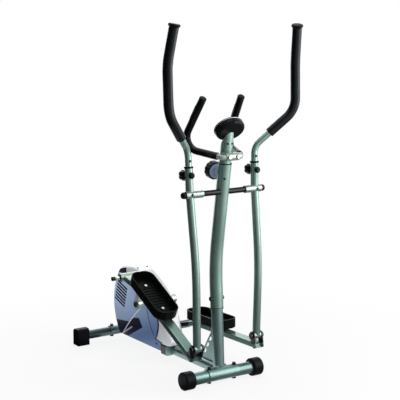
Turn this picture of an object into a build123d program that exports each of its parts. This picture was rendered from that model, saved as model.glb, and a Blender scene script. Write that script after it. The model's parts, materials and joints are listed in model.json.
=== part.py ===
from build123d import *
import os
from math import atan2, cos, degrees, hypot, radians, sin, sqrt, tan

# Elliptical trainer in millimetres: +X forward, the way the user faces, +Y to the user's left, +Z up.
# The floor is at Z 0.
# Right-hand pieces lie at -Y and left-hand pieces at +Y. At rest the right pedal is up.

# Layout
FRONT_X = 339.7
WHEELBASE = 794.0
PIVOT_AHEAD = 10.0
ARM_PIN_Z = 178.0
CRANK_BEHIND = 508.0
CRANK_Z = 231.5
CRANK_R = 140.4
CRANK_ANGLE = 78.4
FOOT_L = 566.4
ARM_L = 612.0
ARM_Y = 158.0

# Clearances
FIT = 0.3
GAP = 0.5
BOLT_FIT = 0.25

# Stabilizers
FRONT_TUBE_D = 50.0
FRONT_CAP_R = 37.4
FRONT_CAP_L = 47.0
FRONT_CAP_ROUND = 6.0
FRONT_HALF = 191.7
REAR_TUBE_D = 40.0
REAR_TUBE_Z = 40.0
REAR_CAP_W = 47.0
REAR_CAP_L = 60.0
REAR_CAP_H = 76.0
REAR_CAP_ROUND = 14.0
REAR_HALF = 251.7
STAB_WALL = 2.5
CAP_WALL = 4.0
CAP_SOLE = 1.5
SADDLE_T = 4.0
SADDLE_HALF = 74.0
STAB_BOLT_Y = 62.0
BOLT_D = 8.0
BOLT_HEAD_D = 18.0
BOLT_HEAD_H = 5.0
SCREW_HEAD_D = 10.8
SCREW_HEAD_H = 3.5
CAP_NUT_D = 14.4
CAP_NUT_H = 8.0
WASHER_T = 1.5
DOME_SHARE = 0.7

# Base frame and post
RAIL_W = 48.0
RAIL_H = 44.0
RAIL_ROUND = 20.0
RAIL_Z = 50.0
RAIL_WALL = 2.5
STUB_FOOT_Z = 48.0
STUB_TOP_Z = 388.0
TUCKED_D = 48.0
TUCKED_WALL = 3.0
POST_FOOT = (-34.7, 307.0)
POST_BEND = (-45.8, 492.6)
POST_TOP_AHEAD = 18.6
POST_TOP_UP = 115.0
POST_BEND_R = 900.0
POST_D = 54.0
SEAT_RING_T = 6.0
GUSSET_W = 6.0
GUSSET_REACH = 130.0
GUSSET_RISE = 180.0
GUSSET_SWELL = 3.0
GUSSET_EDGE = 5.0
GUSSET_HOLE_L = 25.0
GUSSET_HOLE_W = 15.0
GUSSET_HOLE_START = 47.0
GUSSET_HOLE_PITCH = 35.0
GUSSET_HOLES = 3
POST_BOLT_Z = 345.0

# Console mast, fixed handlebar and console
MAST_SOCKET = 60.0
BAR_D = 24.0
BAR_WALL = 2.0
BAR_RISE = 30.0
BAR_SPAN = 46.0
BAR_BACK = (-130.0, 112.0, 27.0)
BAR_END = (-2.0, 92.0, 226.0)
BAR_FRONT_R = 20.0
BAR_BACK_R = 52.0
FOAM_D = 30.0
FOAM_PLUG_T = 5.0
CLAMP_T = 4.0
CLAMP_HALF = 31.0
CLAMP_BOLT_Y = 20.0
CLAMP_BOLT_D = 6.0
CLAMP_CAP_D = 19.8
PULSE_L = 62.0
PULSE_T = 1.6
PULSE_SET_BACK = 99.0
CONSOLE_W = 128.0
CONSOLE_H = 106.0
CONSOLE_T = 34.0
CONSOLE_WALL = 3.0
CONSOLE_ROUND = 14.0
CONSOLE_FACE_T = 6.0
CONSOLE_TILT = 50.0
CONSOLE_X = 50.0
CONSOLE_UP = 252.0
LENS_W = 72.0
LENS_H = 36.0
LENS_T = 2.0
LENS_UP = 12.0
LENS_CORNER = 4.5
BUTTON_D = 16.0
BUTTON_H = 9.0
BUTTON_DOWN = 28.0
BUTTON_TRAVEL = 2.0

# Tension control
KNOB_UP = 68.0
KNOB_R = 37.0
KNOB_T = 26.0
KNOB_FLUTES = 12
KNOB_FLUTE_R = 5.0
KNOB_FLUTE_OUT = 3.0
STEM_D = 34.0
STEM_L = 30.0
DISH_R = 30.0
DISH_T = 8.0
KNOB_SHAFT_D = 10.0
KNOB_SHAFT_L = 18.0
KNOB_FACE_R = 23.0
KNOB_FACE_DEPTH = 4.0

# Swing arms and handles
ARM_D = 32.0
ARM_WALL = 2.0
ARM_TOP = 104.0
ARM_SET_BACK = 6.0
ARM_BOW = (17.6, -300.0)
ARM_BOW_R = 1500.0
ARM_NECK_R = 300.0
PIVOT_D = 17.0
SLEEVE_D = 30.0
SLEEVE_IN = 55.0
SLEEVE_OUT = 24.0
BUSH_D = 24.0
BUSH_L = 24.0
BOSS_D = 30.0
BOSS_HALF = 17.0
FORK_PIN_D = 12.0
FORK_BUSH_D = 18.0
HANDLE_D = 27.2
HANDLE_WALL = 1.8
HANDLE_TUCK = 62.0
HANDLE_KNEE = 171.0
HANDLE_ELBOW = (85.0, 139.0, 316.0)
HANDLE_WRIST = (87.0, 137.0, 506.0)
HANDLE_TIP = (119.0, 121.0, 642.0)
HANDLE_KNEE_R = 70.0
HANDLE_ELBOW_R = 105.0
HANDLE_WRIST_R = 300.0
GRIP_D = 39.0
GRIP_START = 0.36
TIP_CAP_D = 47.0
TIP_CAP_H = 12.0
TIP_CAP_ROUND = 5.0
COLLAR_D = 37.0
COLLAR_H = 7.0
COLLAR_EDGE = 1.5
ARM_KNOB_V = 76.0
ARM_KNOB_R = 22.0
ARM_KNOB_T = 24.0
ARM_KNOB_LOBES = 6
ARM_KNOB_LOBE_R = 5.0
ARM_KNOB_LOBE_OUT = 2.0
STUD_D = 10.0
NUT_CAP_D = 26.0
NUT_CAP_L = 11.0
ARM_SCREW_V = 132.0
COVER_D = 23.0
AXLE_CAP_D = 27.0
AXLE_CAP_L = 18.0
AXLE_CAP_ROUND = 9.0

# Foot bars and pedals
FOOT_Y = 163.0
FOOT_W = 46.0
FOOT_H = 24.0
FOOT_WALL = 2.5
FOOT_ROUND = 5.0
FOOT_KNEE = (130.0, 18.0)
FOOT_KNEE_R = 150.0
FOOT_NOSE_DROP = 41.0
FOOT_NOSE_OVER = 6.0
FORK_T = 4.0
FORK_R = 18.0
FORK_CAP_D = 24.0
FORK_CAP_L = 8.0
CRANK_SLEEVE_D = 36.0
CRANK_SLEEVE_IN = 104.0
CRANK_SLEEVE_OUT = 197.0
CRANK_BOLT_D = 14.0
CRANK_CAP_D = 19.0
CRANK_CAP_L = 38.0
PEDAL_L = 272.0
PEDAL_W = 108.0
PEDAL_H = 42.0
PEDAL_WALL = 5.0
PEDAL_FLOOR = 10.0
PEDAL_INNER_Y = 114.0
PEDAL_S = 221.0
PEDAL_SEAT = 6.0
PEDAL_CORNER = 40.0
PEDAL_BOLT_PITCH = 150.0
PEDAL_BOLT_D = 8.0
PEDAL_POST_L = 26.0
PEDAL_RIBS = 8
PEDAL_RIB_W = 4.0
PEDAL_RIB_H = 2.5

# Crankset, flywheel and brake
CRANK_FACE_Y = 99.0
CRANK_T = 15.0
CRANK_W = 28.0
CRANK_EYE_D = 36.0
CRANK_HUB_D = 44.0
CRANK_HUB_L = 28.0
CRANK_NUT_D = 24.0
CRANK_NUT_H = 8.0
NUT_SIDES = 6
AXLE_D = 20.0
PULLEY_R = 62.0
PULLEY_W = 11.0
PULLEY_Y = 18.0
PULLEY_WEB = 5.0
PULLEY_HOLES = 5
SHEAVE_R = 15.5
BELT_T = 3.0
BB_D = 44.0
BB_RIGHT = 36.0
BB_LEFT = 8.0
BB_BEARING_L = 9.0
BB_BEARING_D = 38.0
FLYWHEEL_BEHIND = 147.0
FLYWHEEL_Z = 197.0
FLYWHEEL_R = 118.0
FLYWHEEL_T = 16.0
FLYWHEEL_WEB = 7.0
FLYWHEEL_RIM = 26.0
FLYWHEEL_HUB_D = 40.0
FLYWHEEL_AXLE_D = 12.0
FLYWHEEL_SHOULDER_D = 19.0
DROPOUT_IN = 27.0
DROPOUT_T = 4.0
DROPOUT_R = 18.0
MAGNET_PIVOT_ANGLE = 56.0
MAGNET_FROM = 72.0
MAGNET_TO = 132.0
MAGNET_GAP = 5.0
MAGNET_YOKE_T = 4.0
MAGNET_YOKE_HALF = 14.0
MAGNET_T = 2.5
MAGNET_PIN_D = 8.0
MAGNET_COUNT = 3

# Housing
SHELL_HALF = 42.0
SHELL_WALL = 3.0
SHELL_CROWN_R = 16.0
SHELL_CORNER_R = 24.0
SHELL_FLOOR_Z = 33.0
SHELL_REAR_TOP = (-742.0, 348.0)
SHELL_REAR_MID = (-803.0, 190.0)
SHELL_REAR_FOOT = (-746.0, 33.0)
SHELL_TOE = (-352.0, 33.0)
SHELL_CHIN = (-328.0, 82.0)
SHELL_NOSE = (-392.0, 236.0)
TOE_CUT = (-390.0, 73.0)
SHELL_SHOULDER = (-560.0, 350.0)
SHELL_CREST = (-650.0, 368.0)
AXLE_HOLE_D = 34.0
PANEL_T = 5.0
PANEL_INSET = 7.0
PANEL_BEVEL = 1.6
PANEL_FIN = (-690.0, 340.0)
PANEL_WAIST = (-572.0, 268.0)
PANEL_HUB_R = 46.0
PANEL_BROW = (-436.0, 214.0)
PANEL_LEAF = (-414.0, 150.0)
PANEL_LEAF_FOOT = (-439.0, 84.0)
PANEL_TOE = (-391.0, 77.0)
LOUVRES = 7
LOUVRE_PITCH = 14.0
LOUVRE_L = 88.0
LOUVRE_W = 5.0
LOUVRE_SLOPE = -18.0
LOUVRE_LOW = (-742.0, 186.0)
LOUVRE_LEAN = 4.5
TRIM_W = 4.5
TRIM_MID = (-628.0, 138.0)
TRIM_FOOT = (-716.0, 45.0)
SEAM_W = 3.0
SEAM_DEPTH = 2.0
SEAM_MID = (-484.0, 148.0)
SEAM_FOOT = (-446.0, 95.0)
COLLAR_ROUND = 6.0
COLLAR_L = 43.0
COLLAR_SOLE = 5.0

REAR_X = FRONT_X - WHEELBASE
PIVOT_X = FRONT_X + PIVOT_AHEAD
PIVOT_Z = ARM_PIN_Z + ARM_L
POST_TOP = (POST_TOP_AHEAD, PIVOT_Z + POST_TOP_UP)
KNOB_Z = PIVOT_Z + KNOB_UP
CONSOLE_Z = PIVOT_Z + CONSOLE_UP
CRANK_X = FRONT_X - CRANK_BEHIND
FLYWHEEL_X = CRANK_X - FLYWHEEL_BEHIND
FRONT_TUBE_Z = FRONT_CAP_R - CAP_SOLE
BAR_Z = POST_TOP[1] + BAR_RISE
POST_BORE = TUCKED_D + 2 * FIT
SIDES = (("right", -1), ("left", 1))


def at(point):
    """Middle-plane point in X and Z, given ahead of the front stabilizer axis and above the floor."""
    return (FRONT_X + point[0], point[1])


def middle(point):
    """The same point in space."""
    return Vector(FRONT_X + point[0], 0, point[1])


def cyl_x(x0, x1, y, z, radius):
    """Cylinder lying along the machine, from x0 to x1."""
    return Pos((x0 + x1) / 2, y, z) * Rot(Y=90) * Cylinder(radius, abs(x1 - x0))


def cyl_y(x, z, radius, y0, y1):
    """Cylinder lying across the machine, from y0 to y1."""
    return Pos(x, (y0 + y1) / 2, z) * Rot(X=90) * Cylinder(radius, abs(y1 - y0))


def cyl_z(x, y, z0, z1, radius):
    """Upright cylinder from z0 to z1."""
    return Pos(x, y, (z0 + z1) / 2) * Cylinder(radius, abs(z1 - z0))


def block(x0, x1, y0, y1, z0, z1):
    """Box between two corners."""
    size = Box(abs(x1 - x0), abs(y1 - y0), abs(z1 - z0))
    return Pos((x0 + x1) / 2, (y0 + y1) / 2, (z0 + z1) / 2) * size


def plate_y(outline, y0, y1):
    """Plate between y0 and y1, from an outline drawn in X and Z."""
    low = min(y0, y1)
    high = max(y0, y1)
    return Pos(0, high, 0) * extrude(Plane.XZ * outline, amount=high - low)


def bar_along(path, radius, bore=0.0):
    """Round rod, or tube when a bore is given, along a path."""
    section = Circle(radius)
    if bore:
        section -= Circle(bore)
    return sweep(Plane(origin=path @ 0, z_dir=path % 0) * section, path=path)


def rounded(solid, radius, keep):
    """Solid with the edges that keep() picks rounded."""
    return fillet([edge for edge in solid.edges() if keep(edge)], radius)


def lower_pin(crank_pin):
    """Lower arm pin that the crank pin, the foot bar and the swing arm leave."""
    dx = crank_pin[0] - PIVOT_X
    dz = crank_pin[1] - PIVOT_Z
    reach = hypot(dx, dz)
    along = (ARM_L ** 2 - FOOT_L ** 2 + reach ** 2) / (2 * reach)
    off = sqrt(ARM_L ** 2 - along ** 2)
    return PIVOT_X + (along * dx - off * dz) / reach, PIVOT_Z + (along * dz + off * dx) / reach


def linkage(side):
    """Crank pin, lower pin, arm angle and foot bar angle of one side at rest."""
    turn = radians(CRANK_ANGLE if side < 0 else CRANK_ANGLE + 180)
    crank_pin = (CRANK_X + CRANK_R * cos(turn), CRANK_Z + CRANK_R * sin(turn))
    pin = lower_pin(crank_pin)
    arm = degrees(atan2(pin[0] - PIVOT_X, PIVOT_Z - pin[1]))
    foot = degrees(atan2(pin[1] - crank_pin[1], pin[0] - crank_pin[0]))
    return crank_pin, pin, arm, foot


def arm_place(side):
    """Carries a piece drawn about the arm pivot to its rest pose."""
    return Pos(PIVOT_X, 0, PIVOT_Z) * Rot(Y=-linkage(side)[2])


def foot_place(side):
    """Carries a piece drawn about the crank pin to its rest pose."""
    crank_pin = linkage(side)[0]
    return Pos(crank_pin[0], 0, crank_pin[1]) * Rot(Y=-linkage(side)[3])


# Stabilizers


def stabilizer(x, z, diameter, half):
    """Floor tube with holes for its two bolts."""
    tube = cyl_y(x, z, diameter / 2, -half, half) - cyl_y(x, z, diameter / 2 - STAB_WALL, -half, half)
    for _, side in SIDES:
        tube -= cyl_z(x, side * STAB_BOLT_Y, 0, z + diameter, BOLT_D / 2 + BOLT_FIT)
    return tube


def front_stabilizer():
    return stabilizer(FRONT_X, FRONT_TUBE_Z, FRONT_TUBE_D, FRONT_HALF - CAP_WALL)


def rear_stabilizer():
    return stabilizer(REAR_X, REAR_TUBE_Z, REAR_TUBE_D, REAR_HALF - CAP_WALL)


def front_caps():
    """Round end caps with a flat sole."""
    caps = []
    for _, side in SIDES:
        inner = side * (FRONT_HALF - FRONT_CAP_L)
        cap = cyl_y(FRONT_X, FRONT_TUBE_Z, FRONT_CAP_R, inner, side * FRONT_HALF)
        cap = fillet(cap.edges().filter_by(GeomType.CIRCLE), FRONT_CAP_ROUND)
        bore = FRONT_TUBE_D / 2 + FIT
        cap -= cyl_y(FRONT_X, FRONT_TUBE_Z, bore, inner, side * (FRONT_HALF - CAP_WALL))
        reach = FRONT_CAP_R
        cap -= block(FRONT_X - reach, FRONT_X + reach, -FRONT_HALF, FRONT_HALF, -reach, 0)
        caps.append(cap)
    return caps


def rear_caps():
    """House-shaped end caps, flat below and rounded above."""
    caps = []
    for _, side in SIDES:
        inner = side * (REAR_HALF - REAR_CAP_L)
        outline = Pos(REAR_X, REAR_CAP_H / 2) * Rectangle(REAR_CAP_W, REAR_CAP_H)
        outline = fillet(outline.vertices().group_by(Axis.Y)[-1], REAR_CAP_ROUND)
        cap = plate_y(outline, inner, side * REAR_HALF)
        outer = cap.faces().sort_by(Axis.Y)[-1 if side > 0 else 0]
        cap = fillet(outer.edges(), CAP_WALL)
        bore = REAR_TUBE_D / 2 + FIT
        caps.append(cap - cyl_y(REAR_X, REAR_TUBE_Z, bore, inner, side * (REAR_HALF - CAP_WALL)))
    return caps


# Base frame and post


def post_line(z):
    """X of the straight lower run of the post at a height."""
    slope = (POST_BEND[0] - POST_FOOT[0]) / (POST_BEND[1] - POST_FOOT[1])
    return FRONT_X + POST_FOOT[0] + slope * (z - POST_FOOT[1])


def saddle(x, z, diameter):
    """Half sleeve that sits on a stabilizer tube."""
    half = cyl_y(x, z, diameter / 2 + FIT + SADDLE_T, -SADDLE_HALF, SADDLE_HALF)
    return half & block(x - diameter, x + diameter, -SADDLE_HALF, SADDLE_HALF, z, z + diameter)


def rail_bar(x0, x1, room=0.0):
    """Length of the rail's rounded section, grown all round by some room."""
    section = RectangleRounded(RAIL_W + 2 * room, RAIL_H + 2 * room, RAIL_ROUND + room)
    return Pos(0, 0, RAIL_Z) * extrude(Plane.YZ.offset(x0) * section, amount=x1 - x0)


def gusset():
    """Thin brace from the rail up to the stub, with lightening holes along its edge."""
    top = RAIL_Z + RAIL_H / 2
    back = post_line(top)
    tail = (back - GUSSET_REACH, top)
    head = (post_line(top + GUSSET_RISE), top + GUSSET_RISE)
    chord = hypot(head[0] - tail[0], head[1] - tail[1])
    out = ((tail[1] - head[1]) / chord, (head[0] - tail[0]) / chord)
    bulge = ((tail[0] + head[0]) / 2 + GUSSET_SWELL * out[0], (tail[1] + head[1]) / 2 + GUSSET_SWELL * out[1])
    curve = ThreePointArc(tail, bulge, head)
    base = top - RAIL_WALL
    outline = make_face([curve, Polyline(head, (back, base), (tail[0], base), tail)])
    inset = GUSSET_HOLE_W / 2 + GUSSET_EDGE
    for index in range(GUSSET_HOLES):
        share = (GUSSET_HOLE_START + GUSSET_HOLE_PITCH * index) / curve.length
        spot = curve @ share
        run = curve % share
        lean = degrees(atan2(run.Y, run.X))
        place = Pos(spot.X - inset * out[0], spot.Y - inset * out[1]) * Rot(Z=lean)
        outline -= place * SlotOverall(GUSSET_HOLE_L, GUSSET_HOLE_W)
    return plate_y(outline, -GUSSET_W / 2, GUSSET_W / 2)


def dropout(y0, y1):
    """Plate that holds the flywheel axle and the pin of the magnet bracket."""
    pin = magnet_pivot()
    base = RAIL_Z + RAIL_H / 2
    foot = [(FLYWHEEL_X - DROPOUT_R * 2, base), (FLYWHEEL_X + DROPOUT_R * 2, base)]
    leg = make_face(Polyline(foot[0], foot[1], (FLYWHEEL_X + DROPOUT_R, FLYWHEEL_Z),
                             (FLYWHEEL_X - DROPOUT_R, FLYWHEEL_Z), close=True))
    head = make_hull((Pos(FLYWHEEL_X, FLYWHEEL_Z) * Circle(DROPOUT_R)).edges()
                     + (Pos(*pin) * Circle(MAGNET_PIN_D)).edges())
    outline = leg + head
    outline -= Pos(FLYWHEEL_X, FLYWHEEL_Z) * Circle(FLYWHEEL_AXLE_D / 2 + BOLT_FIT)
    outline -= Pos(*pin) * Circle(MAGNET_PIN_D / 2 + FIT)
    return plate_y(outline, y0, y1)


def base_frame():
    """Welded rail, stub, brace, saddles, crank bearing tube and flywheel dropouts."""
    top = RAIL_Z + RAIL_H / 2
    half = RAIL_W / 2
    nose = post_line(RAIL_Z)
    frame = rail_bar(REAR_X, nose)
    core = rail_bar(REAR_X + REAR_TUBE_D, nose - TUCKED_D, -RAIL_WALL)
    stub_path = Line((post_line(STUB_FOOT_Z), 0, STUB_FOOT_Z), (post_line(STUB_TOP_Z), 0, STUB_TOP_Z))
    seat_path = Line((post_line(POST_FOOT[1] - SEAT_RING_T), 0, POST_FOOT[1] - SEAT_RING_T),
                     (post_line(POST_FOOT[1]), 0, POST_FOOT[1]))
    front = saddle(FRONT_X, FRONT_TUBE_Z, FRONT_TUBE_D)
    toe = block(nose, FRONT_X, -half, half, FRONT_TUBE_Z, top)
    rear = saddle(REAR_X, REAR_TUBE_Z, REAR_TUBE_D)
    mast_leg = block(CRANK_X - half / 2, CRANK_X + half, -BB_RIGHT + STAB_WALL, 0, RAIL_Z, CRANK_Z)
    bearing_tube = cyl_y(CRANK_X, CRANK_Z, BB_D / 2, -BB_RIGHT, BB_LEFT)
    shelf = DROPOUT_IN + DROPOUT_T
    foot = block(FLYWHEEL_X - DROPOUT_R * 2, FLYWHEEL_X + DROPOUT_R * 2, -shelf, shelf, top - RAIL_WALL, top)
    frame += [bar_along(stub_path, TUCKED_D / 2), bar_along(seat_path, POST_D / 2), front, toe, rear]
    frame += [gusset(), mast_leg, bearing_tube, foot]
    frame += [dropout(DROPOUT_IN, shelf), dropout(-shelf, -DROPOUT_IN)]
    frame -= core
    frame -= bar_along(stub_path, TUCKED_D / 2 - TUCKED_WALL)
    frame -= cyl_y(FRONT_X, FRONT_TUBE_Z, FRONT_TUBE_D / 2 + FIT, -FRONT_HALF, FRONT_HALF)
    frame -= cyl_y(REAR_X, REAR_TUBE_Z, REAR_TUBE_D / 2 + FIT, -REAR_HALF, REAR_HALF)
    frame -= cyl_y(CRANK_X, CRANK_Z, AXLE_D / 2 + GAP * 2, -BB_RIGHT, BB_LEFT)
    frame -= cyl_y(CRANK_X, CRANK_Z, BB_BEARING_D / 2, -BB_RIGHT, BB_BEARING_L - BB_RIGHT)
    frame -= cyl_y(CRANK_X, CRANK_Z, BB_BEARING_D / 2, BB_LEFT - BB_BEARING_L, BB_LEFT)
    for x in (FRONT_X, REAR_X):
        for _, side in SIDES:
            frame -= cyl_z(x, side * STAB_BOLT_Y, 0, top + BOLT_HEAD_H, BOLT_D / 2 + BOLT_FIT)
    return frame - cyl_y(post_line(POST_BOLT_Z), POST_BOLT_Z, BOLT_D / 2 + BOLT_FIT, -POST_D, POST_D)


def post_path(top):
    """Centre line of the post, bent once between two straight runs, up to a height."""
    slope = (POST_TOP[0] - POST_BEND[0]) / (POST_TOP[1] - POST_BEND[1])
    head = (POST_BEND[0] + slope * (top - POST_BEND[1]), top)
    return FilletPolyline(middle(POST_FOOT), middle(POST_BEND), middle(head), radius=POST_BEND_R)


def post_axis():
    """Direction of the straight upper run of the post."""
    return (middle(POST_TOP) - middle(POST_BEND)).normalized()


def upper_run(z):
    """Point on the straight upper run of the post at a height."""
    slope = (POST_TOP[0] - POST_BEND[0]) / (POST_TOP[1] - POST_BEND[1])
    return middle((POST_BEND[0] + slope * (z - POST_BEND[1]), z))


def upper_post():
    post = bar_along(post_path(POST_TOP[1]), POST_D / 2, POST_BORE / 2)
    post -= cyl_y(PIVOT_X, PIVOT_Z, PIVOT_D / 2 + BOLT_FIT, -POST_D, POST_D)
    return post - cyl_y(post_line(POST_BOLT_Z), POST_BOLT_Z, BOLT_D / 2 + BOLT_FIT, -POST_D, POST_D)


def console_plane():
    """Plane through the middle of the console, with its normal towards the user."""
    tilt = radians(CONSOLE_TILT)
    normal = (-sin(tilt), 0, cos(tilt))
    return Plane(origin=(FRONT_X + CONSOLE_X, 0, CONSOLE_Z), x_dir=(0, -1, 0), z_dir=normal)


def console_mast():
    """Tube that plugs into the post and carries the handlebar and the console."""
    path = Line(upper_run(POST_TOP[1] - MAST_SOCKET), upper_run(CONSOLE_Z))
    mast = bar_along(path, TUCKED_D / 2, TUCKED_D / 2 - TUCKED_WALL)
    above = console_plane().offset(-CONSOLE_T / 2) * Pos(0, 0, CONSOLE_W) * Box(*[2 * CONSOLE_W] * 3)
    return mast - above


# Fixed handlebar


def bar_front_x():
    """X of the handlebar's cross run, which lies against the front of the mast."""
    lean = post_axis()
    return upper_run(BAR_Z).X + (TUCKED_D / 2 + BAR_D / 2 + CLAMP_T) / lean.Z


def bar_points(side):
    """Corners of one half of the handlebar, from the middle of the machine out."""
    back = Vector(FRONT_X + BAR_BACK[0], side * BAR_BACK[1], BAR_Z + BAR_BACK[2])
    end = Vector(FRONT_X + BAR_END[0], side * BAR_END[1], BAR_Z + BAR_END[2])
    return [Vector(bar_front_x(), side * BAR_SPAN, BAR_Z), back, end]


def handlebar_tube():
    right = bar_points(-1)
    left = bar_points(1)
    radii = [BAR_BACK_R, BAR_FRONT_R, BAR_FRONT_R, BAR_BACK_R]
    path = FilletPolyline(*reversed(right), *left, radius=radii)
    tube = bar_along(path, BAR_D / 2, BAR_D / 2 - BAR_WALL)
    return tube - [clamp_shank(side, BOLT_FIT) for _, side in SIDES]


def foam_path(side):
    """Part of the handlebar that one foam sleeve covers."""
    corner, back, end = bar_points(side)
    start = corner + (back - corner).normalized() * BAR_FRONT_R
    return FilletPolyline(start, back, end, radius=BAR_BACK_R)


def handlebar_foam():
    return [bar_along(foam_path(side), FOAM_D / 2, BAR_D / 2 + FIT) for _, side in SIDES]


def handlebar_plugs():
    """Rounded plugs that close the ends of the handlebar."""
    plugs = []
    for _, side in SIDES:
        corner, back, end = bar_points(side)
        face = Plane(origin=end, z_dir=end - back)
        head = face * Pos(0, 0, FOAM_PLUG_T / 2) * Cylinder(FOAM_D / 2, FOAM_PLUG_T)
        head = fillet(head.edges().filter_by(GeomType.CIRCLE).sort_by(Axis.Z)[-1], FOAM_PLUG_T - GAP)
        core = BAR_D / 2 - BAR_WALL - FIT
        plugs.append(head + face * Pos(0, 0, -FOAM_D / 2) * Cylinder(core, FOAM_D))
    return plugs


def pulse_plates():
    """Curved contact plates on the user's side of the foam."""
    plates = []
    for _, side in SIDES:
        corner, back, end = bar_points(side)
        run = (end - back).normalized()
        face = Plane(origin=end - run * PULSE_SET_BACK, x_dir=(0, 1, 0), z_dir=run)
        ring = Circle(FOAM_D / 2 + PULSE_T) - Circle(FOAM_D / 2)
        half = ring & Pos(0, FOAM_D / 2) * Rectangle(FOAM_D, FOAM_D)
        plates.append(extrude(face * half, amount=PULSE_L))
    return plates


def handlebar_clamp():
    """Two-sided clamp block between the mast and the cross run of the handlebar."""
    x = bar_front_x()
    outer = BAR_D / 2 + CLAMP_T
    clamp = cyl_y(x, BAR_Z, outer, -CLAMP_HALF, CLAMP_HALF)
    clamp += block(upper_run(BAR_Z).X, x, -TUCKED_D / 2, TUCKED_D / 2, BAR_Z - outer, BAR_Z + outer)
    clamp -= cyl_y(x, BAR_Z, BAR_D / 2 + FIT, -BAR_SPAN, BAR_SPAN)
    path = Line(upper_run(BAR_Z - TUCKED_D * 2), upper_run(BAR_Z + TUCKED_D * 2))
    clamp -= bar_along(path, TUCKED_D / 2 + FIT)
    return clamp - [clamp_shank(side, BOLT_FIT) for _, side in SIDES]


def clamp_shank(side, room=0.0):
    """Shank of a clamp bolt, through the clamp and the bar."""
    x = bar_front_x()
    reach = BAR_D / 2 + CLAMP_T
    return cyl_x(x - reach, x + reach, side * CLAMP_BOLT_Y, BAR_Z, CLAMP_BOLT_D / 2 + room)


# Console


def console_body(depth, inset):
    """Oval block in the console plane, from its back to a depth, with a rounded back edge."""
    plane = console_plane().offset(-CONSOLE_T / 2 + inset)
    oval = plane * Ellipse(CONSOLE_W / 2 - inset, CONSOLE_H / 2 - inset)
    body = extrude(oval, amount=depth)
    back = body.faces().sort_by(Axis((0, 0, 0), tuple(plane.z_dir)))[0]
    return fillet(back.edges(), CONSOLE_ROUND - inset)


def console_shell():
    """Back half of the console, open towards its face plate."""
    depth = CONSOLE_T - CONSOLE_FACE_T
    return console_body(depth, 0) - console_body(depth, CONSOLE_WALL)


def lens_outline(room=0.0):
    return Pos(0, LENS_UP) * RectangleRounded(LENS_W + 2 * room, LENS_H + 2 * room, LENS_CORNER)


def console_face():
    """Face plate with the window for the lens and the hole for the button."""
    plane = console_plane().offset(CONSOLE_T / 2 - CONSOLE_FACE_T)
    face = extrude(plane * Ellipse(CONSOLE_W / 2, CONSOLE_H / 2), amount=CONSOLE_FACE_T)
    rim = face.faces().sort_by(Axis((0, 0, 0), tuple(plane.z_dir)))[-1]
    face = fillet(rim.edges(), CONSOLE_FACE_T / 2)
    face -= extrude(plane.offset(CONSOLE_FACE_T - LENS_T) * lens_outline(FIT), amount=LENS_T)
    return face - extrude(plane * Pos(0, -BUTTON_DOWN) * Circle(BUTTON_D / 2 + FIT), amount=CONSOLE_FACE_T)


def console_lens():
    plane = console_plane().offset(CONSOLE_T / 2 - LENS_T)
    return extrude(plane * lens_outline(), amount=LENS_T)


def console_button():
    """Push button with a flange behind the face plate."""
    plane = console_plane().offset(CONSOLE_T / 2 - CONSOLE_FACE_T) * Pos(0, -BUTTON_DOWN)
    cap = extrude(plane * Circle(BUTTON_D / 2), amount=BUTTON_H)
    top = cap.faces().sort_by(Axis((0, 0, 0), tuple(console_plane().z_dir)))[-1]
    cap = fillet(top.edges(), BUTTON_TRAVEL - GAP)
    return cap + extrude(plane * Circle(BUTTON_D / 2 + BUTTON_TRAVEL), amount=-BUTTON_TRAVEL)


# Tension control


def tension_plane():
    """Plane on the back of the post, with its normal towards the user."""
    axis = post_axis()
    return Plane(origin=upper_run(KNOB_Z), x_dir=(0, -1, 0), z_dir=(-axis.Z, 0, axis.X))


def tension_base():
    """Stem on the back of the post, with a dish and a shaft for the knob."""
    plane = tension_plane()
    seat = POST_D / 2 + STEM_L
    base = extrude(plane * Circle(STEM_D / 2), amount=seat)
    dish = extrude(plane.offset(seat - DISH_T) * Circle(DISH_R), amount=DISH_T)
    dish = chamfer(dish.edges().sort_by(Axis((0, 0, 0), tuple(plane.z_dir)))[0], DISH_T / 2)
    base += [dish, extrude(plane.offset(seat) * Circle(KNOB_SHAFT_D / 2), amount=KNOB_SHAFT_L)]
    axis = Line(upper_run(KNOB_Z - KNOB_R * 2), upper_run(KNOB_Z + KNOB_R * 2))
    return base - bar_along(axis, POST_D / 2 + FIT)


def tension_knob():
    """Fluted knob that turns on the shaft of its base."""
    plane = tension_plane().offset(POST_D / 2 + STEM_L + GAP)
    outline = Circle(KNOB_R)
    for index in range(KNOB_FLUTES):
        place = Rot(Z=360 / KNOB_FLUTES * index) * Pos(KNOB_R + KNOB_FLUTE_OUT, 0)
        outline -= place * Circle(KNOB_FLUTE_R)
    knob = extrude(plane * outline, amount=KNOB_T)
    knob -= extrude(plane.offset(KNOB_T - KNOB_FACE_DEPTH) * Circle(KNOB_FACE_R), amount=KNOB_FACE_DEPTH)
    return knob - extrude(plane * Circle(KNOB_SHAFT_D / 2 + FIT), amount=KNOB_SHAFT_L + GAP)


# Pivot axle


def pivot_axle():
    reach = ARM_Y + SLEEVE_OUT + GAP + AXLE_CAP_L / 2
    return cyl_y(PIVOT_X, PIVOT_Z, PIVOT_D / 2, -reach, reach)


def axle_sleeves():
    """Black covers over the axle, between the post and the arm sleeves."""
    covers = []
    post = bar_along(Line(upper_run(PIVOT_Z - POST_D * 2), upper_run(PIVOT_Z + POST_D * 2)), POST_D / 2 + FIT)
    for _, side in SIDES:
        outer = side * (ARM_Y - SLEEVE_IN - GAP)
        cover = cyl_y(PIVOT_X, PIVOT_Z, COVER_D / 2, 0, outer)
        cover -= cyl_y(PIVOT_X, PIVOT_Z, PIVOT_D / 2 + FIT, 0, outer)
        covers.append((cover - post).solids().sort_by(SortBy.VOLUME)[-1])
    return covers


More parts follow.
